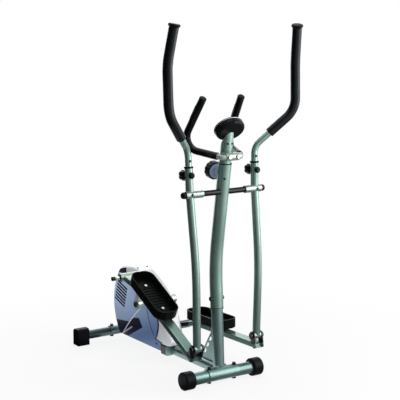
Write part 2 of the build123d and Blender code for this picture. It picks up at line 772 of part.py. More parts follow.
def axle_caps():
    """Domed caps that hold the arms on the axle."""
    caps = []
    for _, side in SIDES:
        inner = side * (ARM_Y + SLEEVE_OUT + GAP)
        outer = inner + side * AXLE_CAP_L
        cap = cyl_y(PIVOT_X, PIVOT_Z, AXLE_CAP_D / 2, inner, outer)
        rim = cap.edges().filter_by(GeomType.CIRCLE).sort_by(Axis.Y)[-1 if side > 0 else 0]
        cap = fillet(rim, AXLE_CAP_ROUND)
        caps.append(cap - cyl_y(PIVOT_X, PIVOT_Z, PIVOT_D / 2 + FIT, inner, inner + side * AXLE_CAP_L / 2))
    return caps


# Swing arms, drawn about the pivot: X ahead, Y out along the side's sign, Z up


def arm_path():
    """Centre line of the lower arm in the arm's own plane."""
    points = [(-ARM_SET_BACK, 0, ARM_TOP), (-ARM_SET_BACK, 0, 0), (ARM_BOW[0], 0, ARM_BOW[1]), (0, 0, -ARM_L)]
    return FilletPolyline(*points, radius=[ARM_NECK_R, ARM_BOW_R])


def lower_arm(side):
    """Bowed tube with the pivot sleeve welded across it and a boss at its foot."""
    y = side * ARM_Y
    inner = y - side * SLEEVE_IN
    outer = y + side * SLEEVE_OUT
    path = arm_path()
    arm = Pos(0, y, 0) * bar_along(path, ARM_D / 2)
    arm += cyl_y(0, 0, SLEEVE_D / 2, inner, outer)
    arm += cyl_y(0, -ARM_L, BOSS_D / 2, y - BOSS_HALF, y + BOSS_HALF)
    bore = Pos(0, y, 0) * bar_along(path, ARM_D / 2 - ARM_WALL)
    bore -= block(-ARM_D, ARM_D, y - ARM_D, y + ARM_D, -ARM_L - BOSS_D, -ARM_L + BOSS_D)
    bore -= cyl_y(0, 0, SLEEVE_D / 2, inner, outer)
    arm -= bore
    arm -= cyl_y(0, 0, BUSH_D / 2, inner, outer)
    arm -= cyl_y(0, -ARM_L, FORK_BUSH_D / 2, y - BOSS_HALF, y + BOSS_HALF)
    arm -= block(-ARM_D, ARM_D, y - ARM_D, y + ARM_D, -ARM_L - BOSS_D, -ARM_L) - foot_round(y)
    arm -= arm_stud(y, STUD_D / 2 + FIT)
    return arm_place(side) * arm


def foot_round(y):
    """Space of the boss at the foot of an arm."""
    return cyl_y(0, -ARM_L, BOSS_D / 2, y - ARM_D, y + ARM_D)


def arm_stud(y, radius):
    """Cross hole of the clamp stud, through the arm and the handle."""
    return cyl_x(-ARM_SET_BACK - ARM_D, ARM_D - ARM_SET_BACK, y, ARM_KNOB_V, radius)


def arm_bushes(side):
    """Two bushes in the pivot sleeve and one in the foot boss."""
    y = side * ARM_Y
    ends = ((y - side * SLEEVE_IN, side), (y + side * SLEEVE_OUT, -side))
    bushes = []
    for end, into in ends:
        bush = cyl_y(0, 0, BUSH_D / 2, end, end + into * BUSH_L)
        bushes.append(bush - cyl_y(0, 0, PIVOT_D / 2 + FIT, end, end + into * BUSH_L))
    foot = cyl_y(0, -ARM_L, FORK_BUSH_D / 2, y - BOSS_HALF, y + BOSS_HALF)
    bushes.append(foot - cyl_y(0, -ARM_L, FORK_PIN_D / 2 + FIT, y - BOSS_HALF, y + BOSS_HALF))
    return [arm_place(side) * bush for bush in bushes]


def handle_points(side):
    """Corners of the upper handle, from inside the lower arm to its tip."""
    spots = [(-ARM_SET_BACK, 0, ARM_TOP - HANDLE_TUCK), (-ARM_SET_BACK, 0, HANDLE_KNEE)]
    spots += [HANDLE_ELBOW, HANDLE_WRIST, HANDLE_TIP]
    return [Vector(u, side * (ARM_Y + w), v) for u, w, v in spots]


def handle_tube(side):
    points = handle_points(side)
    radii = [HANDLE_KNEE_R, HANDLE_ELBOW_R, HANDLE_WRIST_R]
    tube = bar_along(FilletPolyline(*points, radius=radii), HANDLE_D / 2, HANDLE_D / 2 - HANDLE_WALL)
    tube -= arm_stud(side * ARM_Y, STUD_D / 2 + FIT)
    return arm_place(side) * tube


def handle_grip(side):
    """Foam sleeve from part way up the slanted run to the tip."""
    knee, elbow, wrist, tip = handle_points(side)[1:]
    start = knee + (elbow - knee) * GRIP_START
    path = FilletPolyline(start, elbow, wrist, tip, radius=[HANDLE_ELBOW_R, HANDLE_WRIST_R])
    return arm_place(side) * bar_along(path, GRIP_D / 2, HANDLE_D / 2 + FIT)


def handle_cap(side):
    """Rounded plug with a broad head at the tip of the handle."""
    wrist, tip = handle_points(side)[3:]
    face = Plane(origin=tip, z_dir=tip - wrist)
    head = Pos(0, 0, TIP_CAP_H / 2) * Cylinder(TIP_CAP_D / 2, TIP_CAP_H)
    head = fillet(head.edges().filter_by(GeomType.CIRCLE), TIP_CAP_ROUND)
    core = HANDLE_D / 2 - HANDLE_WALL - FIT
    return arm_place(side) * (face * (head + Pos(0, 0, -TIP_CAP_H) * Cylinder(core, 2 * TIP_CAP_H)))


def arm_collar(side):
    """Ring that centres the handle on the top of the lower arm."""
    base = Pos(-ARM_SET_BACK, side * ARM_Y, ARM_TOP + COLLAR_H / 2)
    ring = Cylinder(COLLAR_D / 2, COLLAR_H)
    ring = fillet(ring.edges().filter_by(GeomType.CIRCLE), COLLAR_EDGE)
    return arm_place(side) * (base * (ring - Cylinder(HANDLE_D / 2 + FIT, COLLAR_H)))


def dome_x(x, y, z, diameter, length):
    """Domed cap facing forward, standing on x."""
    cap = cyl_x(x, x + length, y, z, diameter / 2)
    rim = cap.edges().filter_by(GeomType.CIRCLE).sort_by(Axis.X)[-1]
    return fillet(rim, length * DOME_SHARE)


def arm_screws(side):
    """Small domed screws on the front of the handle and of the arm sleeve."""
    y = side * ARM_Y
    upper = dome_x(HANDLE_D / 2 - ARM_SET_BACK, y, ARM_SCREW_V, SCREW_HEAD_D, SCREW_HEAD_H)
    lower = dome_x(SLEEVE_D / 2, y, 0, SCREW_HEAD_D, SCREW_HEAD_H)
    return [arm_place(side) * upper, arm_place(side) * lower]


def arm_knob(side):
    """Lobed clamp knob behind the arm, with its stud and the domed nut in front."""
    y = side * ARM_Y
    face = -ARM_SET_BACK - ARM_D / 2 - GAP
    outline = Circle(ARM_KNOB_R)
    for index in range(ARM_KNOB_LOBES):
        place = Rot(Z=360 / ARM_KNOB_LOBES * index) * Pos(ARM_KNOB_R + ARM_KNOB_LOBE_OUT, 0)
        outline -= place * Circle(ARM_KNOB_LOBE_R)
    plane = Plane(origin=(face, y, ARM_KNOB_V), x_dir=(0, 1, 0), z_dir=(-1, 0, 0))
    knob = extrude(plane * outline, amount=ARM_KNOB_T)
    front = ARM_D / 2 - ARM_SET_BACK + GAP
    knob += cyl_x(face, front, y, ARM_KNOB_V, STUD_D / 2)
    knob += dome_x(front, y, ARM_KNOB_V, NUT_CAP_D, NUT_CAP_L)
    return arm_place(side) * knob


# Foot bars, drawn about the crank pin: X towards the lower arm pin, Z up


def foot_nose():
    """Front end of the foot bar's tube, below the fork pin."""
    return FOOT_L + FOOT_NOSE_OVER, -FOOT_NOSE_DROP


def foot_section():
    ring = RectangleRounded(FOOT_W, FOOT_H, FOOT_ROUND)
    return ring - RectangleRounded(FOOT_W - 2 * FOOT_WALL, FOOT_H - 2 * FOOT_WALL, FOOT_ROUND - FOOT_WALL)


def foot_bar(side):
    """Bent box tube with the crank sleeve at its rear end and a fork at its front end."""
    y = side * FOOT_Y
    nose = foot_nose()
    knee = (FOOT_KNEE[0], y, FOOT_KNEE[1])
    path = FilletPolyline((0, y, 0), knee, (nose[0], y, nose[1]), radius=FOOT_KNEE_R)
    start = Plane(origin=path @ 0, x_dir=(0, 1, 0), z_dir=path % 0)
    bar = sweep(start * foot_section(), path=path)
    sleeve_in = side * CRANK_SLEEVE_IN
    sleeve_out = side * CRANK_SLEEVE_OUT
    bar -= cyl_y(0, 0, CRANK_SLEEVE_D / 2 - FOOT_WALL, sleeve_in, sleeve_out)
    bar += cyl_y(0, 0, CRANK_SLEEVE_D / 2, sleeve_in, sleeve_out)
    bar += [fork_cheek(side, way) for way in (-1, 1)]
    bar += fork_bridge(side)
    bar += [pedal_post(side, way) for way in (-1, 1)]
    bar -= cyl_y(0, 0, CRANK_BOLT_D / 2 + BOLT_FIT, sleeve_in, sleeve_out)
    reach = ARM_Y + ARM_D * 2
    bar -= cyl_y(FOOT_L, 0, FORK_PIN_D / 2 + BOLT_FIT, 0, side * reach)
    return foot_place(side) * bar


def fork_cheek(side, way):
    """One side plate of the fork, from the bar's end up to round the pin."""
    nose = foot_nose()
    inner = side * ARM_Y + way * (BOSS_HALF + GAP)
    tail = Pos(nose[0], nose[1]) * Circle(FOOT_H / 2)
    outline = make_hull(tail.edges() + (Pos(FOOT_L, 0) * Circle(FORK_R)).edges())
    return plate_y(outline, inner, inner + way * FORK_T)


def fork_bridge(side):
    """Plate that closes the bar's end between the two cheeks."""
    nose = foot_nose()
    half = FOOT_W / 2
    y = side * FOOT_Y
    return block(nose[0] - FORK_T, nose[0], y - half, y + half, nose[1] - FOOT_H / 2, nose[1] + FOOT_H / 2)


def pedal_slope():
    """Lean of the bar's straight front run, which the pedal follows."""
    nose = foot_nose()
    return degrees(atan2(nose[1] - FOOT_KNEE[1], nose[0] - FOOT_KNEE[0]))


def pedal_frame():
    """Carries a piece drawn on the underside of the pedal, at its middle, to the foot bar."""
    slope = pedal_slope()
    height = FOOT_KNEE[1] + (PEDAL_S - FOOT_KNEE[0]) * tan(radians(slope))
    rise = FOOT_H / 2 + PEDAL_SEAT
    return Pos(PEDAL_S, 0, height) * Rot(Y=-slope) * Pos(0, 0, rise)


def pedal_post(side, way):
    """Bracket block under a pedal bolt."""
    half = PEDAL_POST_L / 2
    x = way * PEDAL_BOLT_PITCH / 2
    y = side * FOOT_Y
    base = block(x - half, x + half, y - FOOT_W / 2, y + FOOT_W / 2, -PEDAL_SEAT - FOOT_WALL / 2, 0)
    return pedal_frame() * (base - pedal_bolt_hole(x, y))


def pedal_bolt_hole(x, y):
    return cyl_z(x, y, -PEDAL_SEAT - FOOT_WALL, PEDAL_H, PEDAL_BOLT_D / 2 + BOLT_FIT)


def pedal(side):
    """Deep foot tray with a raised rim, a flared lip and cross ribs."""
    y = side * (PEDAL_INNER_Y + PEDAL_W / 2)
    outer = RectangleRounded(PEDAL_L, PEDAL_W, PEDAL_CORNER)
    inner = RectangleRounded(PEDAL_L - 2 * PEDAL_WALL, PEDAL_W - 2 * PEDAL_WALL, PEDAL_CORNER - PEDAL_WALL)
    tray = extrude(outer, amount=PEDAL_H)
    tray = fillet(tray.edges().group_by(Axis.Z)[0], PEDAL_WALL)
    tray -= Pos(0, 0, PEDAL_FLOOR) * extrude(inner, amount=PEDAL_H)
    pitch = PEDAL_BOLT_PITCH / (PEDAL_RIBS + 1)
    for index in range(PEDAL_RIBS):
        x = -PEDAL_BOLT_PITCH / 2 + pitch * (index + 1)
        rib = Box(PEDAL_RIB_W, PEDAL_W - 4 * PEDAL_WALL, PEDAL_RIB_H)
        tray += Pos(x, 0, PEDAL_FLOOR + PEDAL_RIB_H / 2) * rib
    tray = Pos(0, y, 0) * tray
    tray -= [pedal_bolt_hole(way * PEDAL_BOLT_PITCH / 2, side * FOOT_Y) for way in (-1, 1)]
    return foot_place(side) * pedal_frame() * tray


def foot_pins(side):
    """Crank bolt with its cap, fork pin with its caps, and the two pedal bolts."""
    bolt_end = side * (CRANK_FACE_Y + GAP)
    cap_in = side * CRANK_SLEEVE_OUT
    cap_out = cap_in + side * CRANK_CAP_L
    bolt = cyl_y(0, 0, CRANK_BOLT_D / 2, bolt_end, cap_out) + cyl_y(0, 0, CRANK_CAP_D / 2, cap_in, cap_out)
    bolt += cyl_y(0, 0, CRANK_SLEEVE_D / 2, bolt_end, side * CRANK_SLEEVE_IN)
    reach = BOSS_HALF + GAP + FORK_T
    y = side * ARM_Y
    pin = cyl_y(FOOT_L, 0, FORK_PIN_D / 2, y - reach - FORK_CAP_L, y + reach + FORK_CAP_L)
    for way in (-1, 1):
        pin += cyl_y(FOOT_L, 0, FORK_CAP_D / 2, y + way * reach, y + way * (reach + FORK_CAP_L))
    bolts = [pedal_bolt(side, way) for way in (-1, 1)]
    return [foot_place(side) * piece for piece in (bolt, pin, *bolts)]


def pedal_bolt(side, way):
    """Domed bolt through the pedal floor into its bracket."""
    x = way * PEDAL_BOLT_PITCH / 2
    y = side * FOOT_Y
    bolt = cyl_z(x, y, -PEDAL_SEAT, PEDAL_FLOOR, PEDAL_BOLT_D / 2)
    head = cyl_z(x, y, PEDAL_FLOOR, PEDAL_FLOOR + BOLT_HEAD_H, BOLT_HEAD_D / 2)
    head = fillet(head.edges().filter_by(GeomType.CIRCLE).sort_by(Axis.Z)[-1], BOLT_HEAD_H * DOME_SHARE)
    return pedal_frame() * (bolt + head)


# Crankset, flywheel and brake


def crank_axle():
    reach = CRANK_FACE_Y - CRANK_HUB_L + CRANK_T
    return cyl_y(CRANK_X, CRANK_Z, AXLE_D / 2, -reach, reach)


def crank_arm(side):
    """Flat crank with a hub on the axle and an eye for the pedal bolt."""
    pin = linkage(side)[0]
    face = side * CRANK_FACE_Y
    back = face - side * CRANK_T
    hub = Pos(CRANK_X, CRANK_Z) * Circle(CRANK_W / 2)
    web = make_hull(hub.edges() + (Pos(*pin) * Circle(CRANK_W / 2)).edges())
    arm = plate_y(web, face - side * GAP, back)
    arm += cyl_y(*pin, CRANK_EYE_D / 2, face, back)
    arm += cyl_y(CRANK_X, CRANK_Z, CRANK_HUB_D / 2, face - side * GAP, face - side * CRANK_HUB_L)
    return arm - cyl_y(CRANK_X, CRANK_Z, AXLE_D / 2 + BOLT_FIT, 0, face - side * (CRANK_HUB_L - CRANK_T))


def crank_nuts():
    """Nuts that hold the cranks, sunk in their hubs' outer face."""
    nuts = []
    for _, side in SIDES:
        face = side * (CRANK_FACE_Y - GAP)
        outline = Pos(CRANK_X, CRANK_Z) * RegularPolygon(CRANK_NUT_D / 2, NUT_SIDES)
        nuts.append(plate_y(outline, face, face + side * CRANK_NUT_H))
    return nuts


def crank_bearings():
    bearings = []
    for y0 in (-BB_RIGHT, BB_LEFT - BB_BEARING_L):
        ring = cyl_y(CRANK_X, CRANK_Z, BB_BEARING_D / 2, y0, y0 + BB_BEARING_L)
        bearings.append(ring - cyl_y(CRANK_X, CRANK_Z, AXLE_D / 2 + FIT, y0, y0 + BB_BEARING_L))
    return bearings


def drive_pulley():
    """Large belt pulley with a thin web and round holes."""
    y0 = PULLEY_Y - PULLEY_W / 2
    y1 = PULLEY_Y + PULLEY_W / 2
    pulley = cyl_y(CRANK_X, CRANK_Z, PULLEY_R, y0, y1)
    ring_out = PULLEY_R - PULLEY_WEB
    hub = AXLE_D / 2 + PULLEY_WEB * 2
    for low, high in ((y0, PULLEY_Y - PULLEY_WEB / 2), (PULLEY_Y + PULLEY_WEB / 2, y1)):
        pulley -= cyl_y(CRANK_X, CRANK_Z, ring_out, low, high) - cyl_y(CRANK_X, CRANK_Z, hub, low, high)
    middle_r = (ring_out + hub) / 2
    for index in range(PULLEY_HOLES):
        turn = radians(360 / PULLEY_HOLES * index)
        spot = (CRANK_X + middle_r * cos(turn), CRANK_Z + middle_r * sin(turn))
        pulley -= cyl_y(*spot, (ring_out - hub) / 2 - PULLEY_WEB, y0, y1)
    return pulley - cyl_y(CRANK_X, CRANK_Z, AXLE_D / 2 + BOLT_FIT, y0, y1)


def drive_belt():
    """Flat belt round the pulley and the flywheel's sheave."""
    def loop(extra):
        large = Pos(CRANK_X, CRANK_Z) * Circle(PULLEY_R + extra)
        small = Pos(FLYWHEEL_X, FLYWHEEL_Z) * Circle(SHEAVE_R + extra)
        return make_hull(large.edges() + small.edges())

    half = PULLEY_W / 2 - GAP
    return plate_y(loop(FIT + BELT_T) - loop(FIT), PULLEY_Y - half, PULLEY_Y + half)


def flywheel():
    """Heavy rimmed disc with the belt sheave turned on its hub."""
    half = FLYWHEEL_T / 2
    wheel = cyl_y(FLYWHEEL_X, FLYWHEEL_Z, FLYWHEEL_R, -half, half)
    ring = FLYWHEEL_R - FLYWHEEL_RIM
    hub = FLYWHEEL_HUB_D / 2
    for low, high in ((-half, -FLYWHEEL_WEB / 2), (FLYWHEEL_WEB / 2, half)):
        dish = cyl_y(FLYWHEEL_X, FLYWHEEL_Z, ring, low, high)
        wheel -= dish - cyl_y(FLYWHEEL_X, FLYWHEEL_Z, hub, low, high)
    sheave_end = PULLEY_Y + PULLEY_W / 2
    wheel += cyl_y(FLYWHEEL_X, FLYWHEEL_Z, SHEAVE_R, half, sheave_end)
    return wheel - cyl_y(FLYWHEEL_X, FLYWHEEL_Z, FLYWHEEL_AXLE_D / 2 + FIT, -half, sheave_end)


def flywheel_axle():
    """Axle between the dropouts, with a shoulder each side and a nut outside each plate."""
    outer = DROPOUT_IN + DROPOUT_T
    axle = cyl_y(FLYWHEEL_X, FLYWHEEL_Z, FLYWHEEL_AXLE_D / 2, -outer, outer)
    shoulder = FLYWHEEL_SHOULDER_D / 2
    axle += cyl_y(FLYWHEEL_X, FLYWHEEL_Z, shoulder, -DROPOUT_IN, -FLYWHEEL_T / 2 - GAP)
    axle += cyl_y(FLYWHEEL_X, FLYWHEEL_Z, shoulder, PULLEY_Y + PULLEY_W / 2 + GAP, DROPOUT_IN)
    for _, side in SIDES:
        axle += cyl_y(FLYWHEEL_X, FLYWHEEL_Z, shoulder, side * outer, side * (outer + BOLT_HEAD_H))
    return axle


def rim_sector(r0, r1, start, end):
    """Ring sector about the flywheel axle, drawn in X and Z."""
    ring = Circle(r1) - Circle(r0)
    reach = r1 * 2
    a, b = radians(start), radians(end)
    mid = (a + b) / 2
    wedge = make_face(Polyline((0, 0), (reach * cos(a), reach * sin(a)), (reach * cos(mid), reach * sin(mid)),
                               (reach * cos(b), reach * sin(b)), close=True))
    return Pos(FLYWHEEL_X, FLYWHEEL_Z) * (ring & wedge)


def magnet_pivot():
    """Pin of the magnet bracket, just outside its yoke."""
    turn = radians(MAGNET_PIVOT_ANGLE)
    reach = FLYWHEEL_R + MAGNET_GAP + MAGNET_T + MAGNET_YOKE_T + MAGNET_PIN_D / 2
    return FLYWHEEL_X + reach * cos(turn), FLYWHEEL_Z + reach * sin(turn)


def magnet_bracket():
    """Yoke over the flywheel's rim, hung on its pin between the dropouts."""
    r0 = FLYWHEEL_R + MAGNET_GAP + MAGNET_T
    half = MAGNET_YOKE_HALF
    yoke = plate_y(rim_sector(r0, r0 + MAGNET_YOKE_T, MAGNET_PIVOT_ANGLE, MAGNET_TO), -half, half)
    pin = magnet_pivot()
    eye = MAGNET_PIN_D
    reach = DROPOUT_IN + DROPOUT_T
    yoke += cyl_y(*pin, eye, -half, half)
    yoke += cyl_y(*pin, MAGNET_PIN_D / 2, -reach, reach)
    return yoke


def bracket_magnets():
    """Curved magnets on the inside of the yoke."""
    r1 = FLYWHEEL_R + MAGNET_GAP + MAGNET_T
    span = (MAGNET_TO - MAGNET_FROM) / MAGNET_COUNT
    magnets = []
    for index in range(MAGNET_COUNT):
        start = MAGNET_FROM + span * index
        sector = rim_sector(r1 - MAGNET_T, r1, start + MAGNET_T / 2, start + span - MAGNET_T / 2)
        magnets.append(plate_y(sector, -FLYWHEEL_T / 2, FLYWHEEL_T / 2))
    return magnets


# Housing


def redrawn(outline):
    """Outline with every edge as a plain line or arc."""
    edges = []
    for edge in outline.edges():
        straight = edge.geom_type == GeomType.LINE
        edges.append(Line(edge @ 0, edge @ 1) if straight else ThreePointArc(edge @ 0, edge @ 0.5, edge @ 1))
    return make_face(edges)


def housing_outline(inset):
    """Side outline of the housing, drawn in X and Z and drawn in by an inset."""
    rear_top = at(SHELL_REAR_TOP)
    foot = at(SHELL_REAR_FOOT)
    nose = at(SHELL_NOSE)
    shoulder = at(SHELL_SHOULDER)
    toe = at(SHELL_TOE)
    chin = at(SHELL_CHIN)
    edges = [ThreePointArc(rear_top, at(SHELL_REAR_MID), foot), Polyline(foot, toe, chin, nose)]
    crest = ThreePointArc(shoulder, at(SHELL_CREST), rear_top)
    edges += [crest, TangentArc(shoulder, nose, tangent=-(crest % 0))]
    outline = make_face(edges)
    sharp = (rear_top, foot, toe, chin, nose)
    corners = [v for v in outline.vertices() if min(hypot(v.X - c[0], v.Y - c[1]) for c in sharp) < GAP]
    outline = fillet(corners, SHELL_CORNER_R)
    return redrawn(offset(outline, -inset)) if inset else outline


def housing_block(inset):
    half = SHELL_HALF - inset
    body = plate_y(housing_outline(inset), -half, half)
    return rounded(body, SHELL_CROWN_R - inset, lambda edge: abs(abs(edge.center().Y) - half) < GAP)


def housing_shells():
    """White housing in two halves that meet on the middle plane."""
    shell = housing_block(0) - housing_block(SHELL_WALL)
    half = RAIL_W / 2 + FIT
    cut = at(TOE_CUT)
    shell -= block(REAR_X - WHEELBASE, FRONT_X, -half, half, 0, RAIL_Z + RAIL_H / 2 + FIT)
    shell -= block(cut[0], FRONT_X, -SHELL_HALF, SHELL_HALF, 0, cut[1])
    shell -= cyl_y(CRANK_X, CRANK_Z, AXLE_HOLE_D / 2, -SHELL_HALF, SHELL_HALF)
    halves = {}
    for name, side in SIDES:
        room = block(REAR_X - WHEELBASE, FRONT_X, 0, side * SHELL_HALF * 2, 0, CRANK_Z * 3)
        halves[name] = shell & room
    return halves


def panel_outline():
    """Side panel: rear fin, waist round the crank hub, leaf-shaped front and a low toe."""
    hub = (CRANK_X, CRANK_Z)
    waist = at(PANEL_WAIST)
    brow = at(PANEL_BROW)
    crown = (hub[0], hub[1] + PANEL_HUB_R)
    floor = SHELL_FLOOR_Z + PANEL_INSET
    toe = at(PANEL_TOE)
    leaf_foot = at(PANEL_LEAF_FOOT)
    far = (REAR_X - WHEELBASE / 4, floor)
    edges = [Line(at(PANEL_FIN), waist), ThreePointArc(waist, crown, brow)]
    edges += [ThreePointArc(brow, at(PANEL_LEAF), leaf_foot), Line(leaf_foot, toe)]
    high = (far[0], SHELL_CREST[1])
    edges += [Polyline(toe, (toe[0], floor), far, high, (FRONT_X + PANEL_FIN[0], high[1]), at(PANEL_FIN))]
    return make_face(edges) & housing_outline(PANEL_INSET)


def curved_strip(start, mid, end, width):
    """Even strip along an arc through three points."""
    line = ThreePointArc(start, mid, end)
    sides = []
    for way in (-1, 1):
        spots = []
        for share in (0, 0.5, 1):
            run = line % share
            spots.append((line @ share) + Vector(-run.Y, run.X) * (way * width / 2))
        sides.append(ThreePointArc(*spots))
    ends = [Line(sides[0] @ share, sides[1] @ share) for share in (0, 1)]
    return make_face([*sides, *ends])


def side_panel(side):
    """Blue-grey panel with a louvred rear, a slot that bares the white shell and a dark seam."""
    outline = panel_outline()
    hub = (CRANK_X, CRANK_Z)
    slots = Sketch()
    for index in range(LOUVRES):
        spot = (FRONT_X + LOUVRE_LOW[0] + LOUVRE_LEAN * index, LOUVRE_LOW[1] + LOUVRE_PITCH * index)
        slots += Pos(*spot) * Rot(Z=LOUVRE_SLOPE) * SlotOverall(LOUVRE_L, LOUVRE_W)
    outer = side * (SHELL_HALF + PANEL_T)
    panel = plate_y(outline, side * SHELL_HALF, outer)
    face = panel.faces().sort_by(Axis.Y)[-1 if side > 0 else 0]
    panel = chamfer(face.edges(), PANEL_BEVEL)
    panel -= plate_y(slots, side * SHELL_HALF, outer)
    trim = curved_strip(hub, at(TRIM_MID), at(TRIM_FOOT), TRIM_W)
    panel -= plate_y(trim, side * (SHELL_HALF + SEAM_DEPTH), outer)
    seam = curved_strip(hub, at(SEAM_MID), at(SEAM_FOOT), SEAM_W)
    panel -= plate_y(seam, outer - side * SEAM_DEPTH, outer)
    return panel - cyl_y(CRANK_X, CRANK_Z, AXLE_HOLE_D / 2, 0, outer)


def rail_collar():
    """Black toe piece where the rail leaves the front of the housing."""
    cut = at(TOE_CUT)
    x0 = cut[0] + GAP
    half = SHELL_HALF + PANEL_T
    toe = block(x0, x0 + COLLAR_L, -half, half, SHELL_FLOOR_Z - COLLAR_SOLE, cut[1] - GAP)
    toe = fillet(toe.edges().filter_by(Axis.X), COLLAR_ROUND)
    return toe - rail_bar(x0, x0 + COLLAR_L, FIT)


# Fasteners of the fixed frame


def stabilizer_bolt(x, side, bottom, top):
    """Carriage bolt with its domed head below and a cap nut above."""
    y = side * STAB_BOLT_Y
    bolt = cyl_z(x, y, bottom - BOLT_HEAD_H, top + CAP_NUT_H, BOLT_D / 2)
    bolt += cyl_z(x, y, bottom - BOLT_HEAD_H, bottom, BOLT_HEAD_D / 2)
    nut = cyl_z(x, y, top, top + CAP_NUT_H, CAP_NUT_D / 2)
    return bolt + [cyl_z(x, y, top, top + WASHER_T, BOLT_HEAD_D / 2), nut]


def frame_bolts():
    """Stabilizer bolts, the post's cross bolt and the clamp bolts."""
    bolts = []
    spots = ((FRONT_X, FRONT_TUBE_Z, FRONT_TUBE_D), (REAR_X, REAR_TUBE_Z, REAR_TUBE_D))
    for x, z, diameter in spots:
        top = z + diameter / 2 + FIT + SADDLE_T
        bolts += [stabilizer_bolt(x, side, z - diameter / 2, top) for _, side in SIDES]
    half = POST_D / 2
    cross = cyl_y(post_line(POST_BOLT_Z), POST_BOLT_Z, BOLT_D / 2, -half - BOLT_HEAD_H, half + BOLT_HEAD_H)
    for _, side in SIDES:
        head = (side * half, side * (half + BOLT_HEAD_H))
        cross += cyl_y(post_line(POST_BOLT_Z), POST_BOLT_Z, BOLT_HEAD_D / 2, *head)
    bolts.append(cross)
    for _, side in SIDES:
        front = bar_front_x() + BAR_D / 2 + CLAMP_T
        cap = dome_x(front, side * CLAMP_BOLT_Y, BAR_Z, CLAMP_CAP_D, BOLT_HEAD_H)
        bolts.append(clamp_shank(side) + cap)
    return bolts


def build():
    """Every node by name."""
    shells = housing_shells()
    nodes = {
        "base_frame": base_frame(),
        "front_stabilizer": front_stabilizer(),
        "rear_stabilizer": rear_stabilizer(),
        "front_caps": front_caps(),
        "rear_caps": rear_caps(),
        "frame_bolts": frame_bolts(),
        "upper_post": upper_post(),
        "console_mast": console_mast(),
        "pivot_axle": pivot_axle(),
        "axle_sleeves": axle_sleeves(),
        "axle_caps": axle_caps(),
        "handlebar_tube": handlebar_tube(),
        "handlebar_foam": handlebar_foam(),
        "handlebar_plugs": handlebar_plugs(),
        "pulse_plates": pulse_plates(),
        "handlebar_clamp": handlebar_clamp(),
        "console_shell": console_shell(),
        "console_face": console_face(),
        "console_lens": console_lens(),
        "console_button": console_button(),
        "tension_base": tension_base(),
        "tension_knob": tension_knob(),
        "rail_collar": rail_collar(),
        "crank_bearings": crank_bearings(),
        "drive_belt": drive_belt(),
        "flywheel_axle": flywheel_axle(),
        "magnet_bracket": magnet_bracket(),
        "bracket_magnets": bracket_magnets(),
        "crank_axle": crank_axle(),
        "drive_pulley": drive_pulley(),
        "crank_nuts": crank_nuts(),
        "flywheel": flywheel(),
    }
    paired = (lower_arm, arm_bushes, handle_tube, handle_grip, handle_cap, arm_collar, arm_screws, arm_knob)
    paired += (foot_bar, pedal, foot_pins, crank_arm)
    for name, side in SIDES:
        nodes[f"shell_{name}"] = shells[name]
        nodes[f"panel_{name}"] = side_panel(side)
        for piece in paired:
            nodes[f"{piece.__name__}_{name}"] = piece(side)
    return nodes


def main():
    os.makedirs("parts", exist_ok=True)
    for name, shape in build().items():
        solids = shape if isinstance(shape, list) else [shape]
        group = Compound(children=[solid for piece in solids for solid in piece.solids()])
        export_step(group, f"parts/{name}.step")


main()
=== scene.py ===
import bmesh
import bpy
import json
import math
from mathutils import Matrix, Vector, noise


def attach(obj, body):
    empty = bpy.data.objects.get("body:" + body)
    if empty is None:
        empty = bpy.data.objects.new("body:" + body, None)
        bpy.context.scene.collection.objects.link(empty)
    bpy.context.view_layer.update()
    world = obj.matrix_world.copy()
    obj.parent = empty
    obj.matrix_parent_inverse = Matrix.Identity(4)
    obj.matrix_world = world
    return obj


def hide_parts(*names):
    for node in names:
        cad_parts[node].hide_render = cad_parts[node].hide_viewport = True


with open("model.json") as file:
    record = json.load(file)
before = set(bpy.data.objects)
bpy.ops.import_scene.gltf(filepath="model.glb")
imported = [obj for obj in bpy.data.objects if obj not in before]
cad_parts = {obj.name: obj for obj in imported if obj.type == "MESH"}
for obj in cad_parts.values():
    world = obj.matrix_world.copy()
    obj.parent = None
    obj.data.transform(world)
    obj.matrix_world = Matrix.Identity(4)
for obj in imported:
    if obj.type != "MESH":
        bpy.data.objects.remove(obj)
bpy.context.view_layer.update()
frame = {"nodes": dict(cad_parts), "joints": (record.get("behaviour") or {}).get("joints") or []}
NODES = frame["nodes"]
JOINTS = {joint["name"]: joint for joint in frame["joints"]}
SIDES = (("right", -1), ("left", 1))

# Camera at the photograph's angle, in metres
CAMERA_AT = (3.9183, -2.5405, 1.4692)
CAMERA_TARGET = (0.1829, 0.0, 0.7335)
LENS_MM = 100.35
SENSOR_MM = 36.0

# Sizes shared with the solids, in metres and radians
FOAM_R = 0.015
GRIP_R = 0.0195
BAR_FRONT = (0.38470, 0.05239, 0.93762)
BAR_BACK = (0.2097, 0.112, 0.962)
BAR_END = (0.3377, 0.092, 1.161)
BAR_BACK_R = 0.052
HANDLE_KNEE = (-0.006, 0.158, 0.171)
HANDLE_ELBOW = (0.085, 0.297, 0.316)
HANDLE_WRIST = (0.087, 0.295, 0.506)
HANDLE_TIP = (0.119, 0.279, 0.642)
HANDLE_ELBOW_R = 0.105
HANDLE_WRIST_R = 0.3
GRIP_START = 0.36
PANEL_Y = 0.047
SHELL_Y = 0.042
LOUVRES = 7
LOUVRE_LOW = (-0.4023, 0.186)
LOUVRE_STEP = (0.0045, 0.014)
LOUVRE_L = 0.083
LOUVRE_SLOPE = math.radians(-18.0)
TRIM_MID = (-0.2883, 0.138)
TRIM_FOOT = (-0.3763, 0.045)
SEAM_MID = (-0.1443, 0.148)
SEAM_FOOT = (-0.1063, 0.095)
LEAF_TOP = (-0.0963, 0.214)
LEAF_MID = (-0.0743, 0.150)
LEAF_FOOT = (-0.0993, 0.084)
SLEEVE_R = 0.015
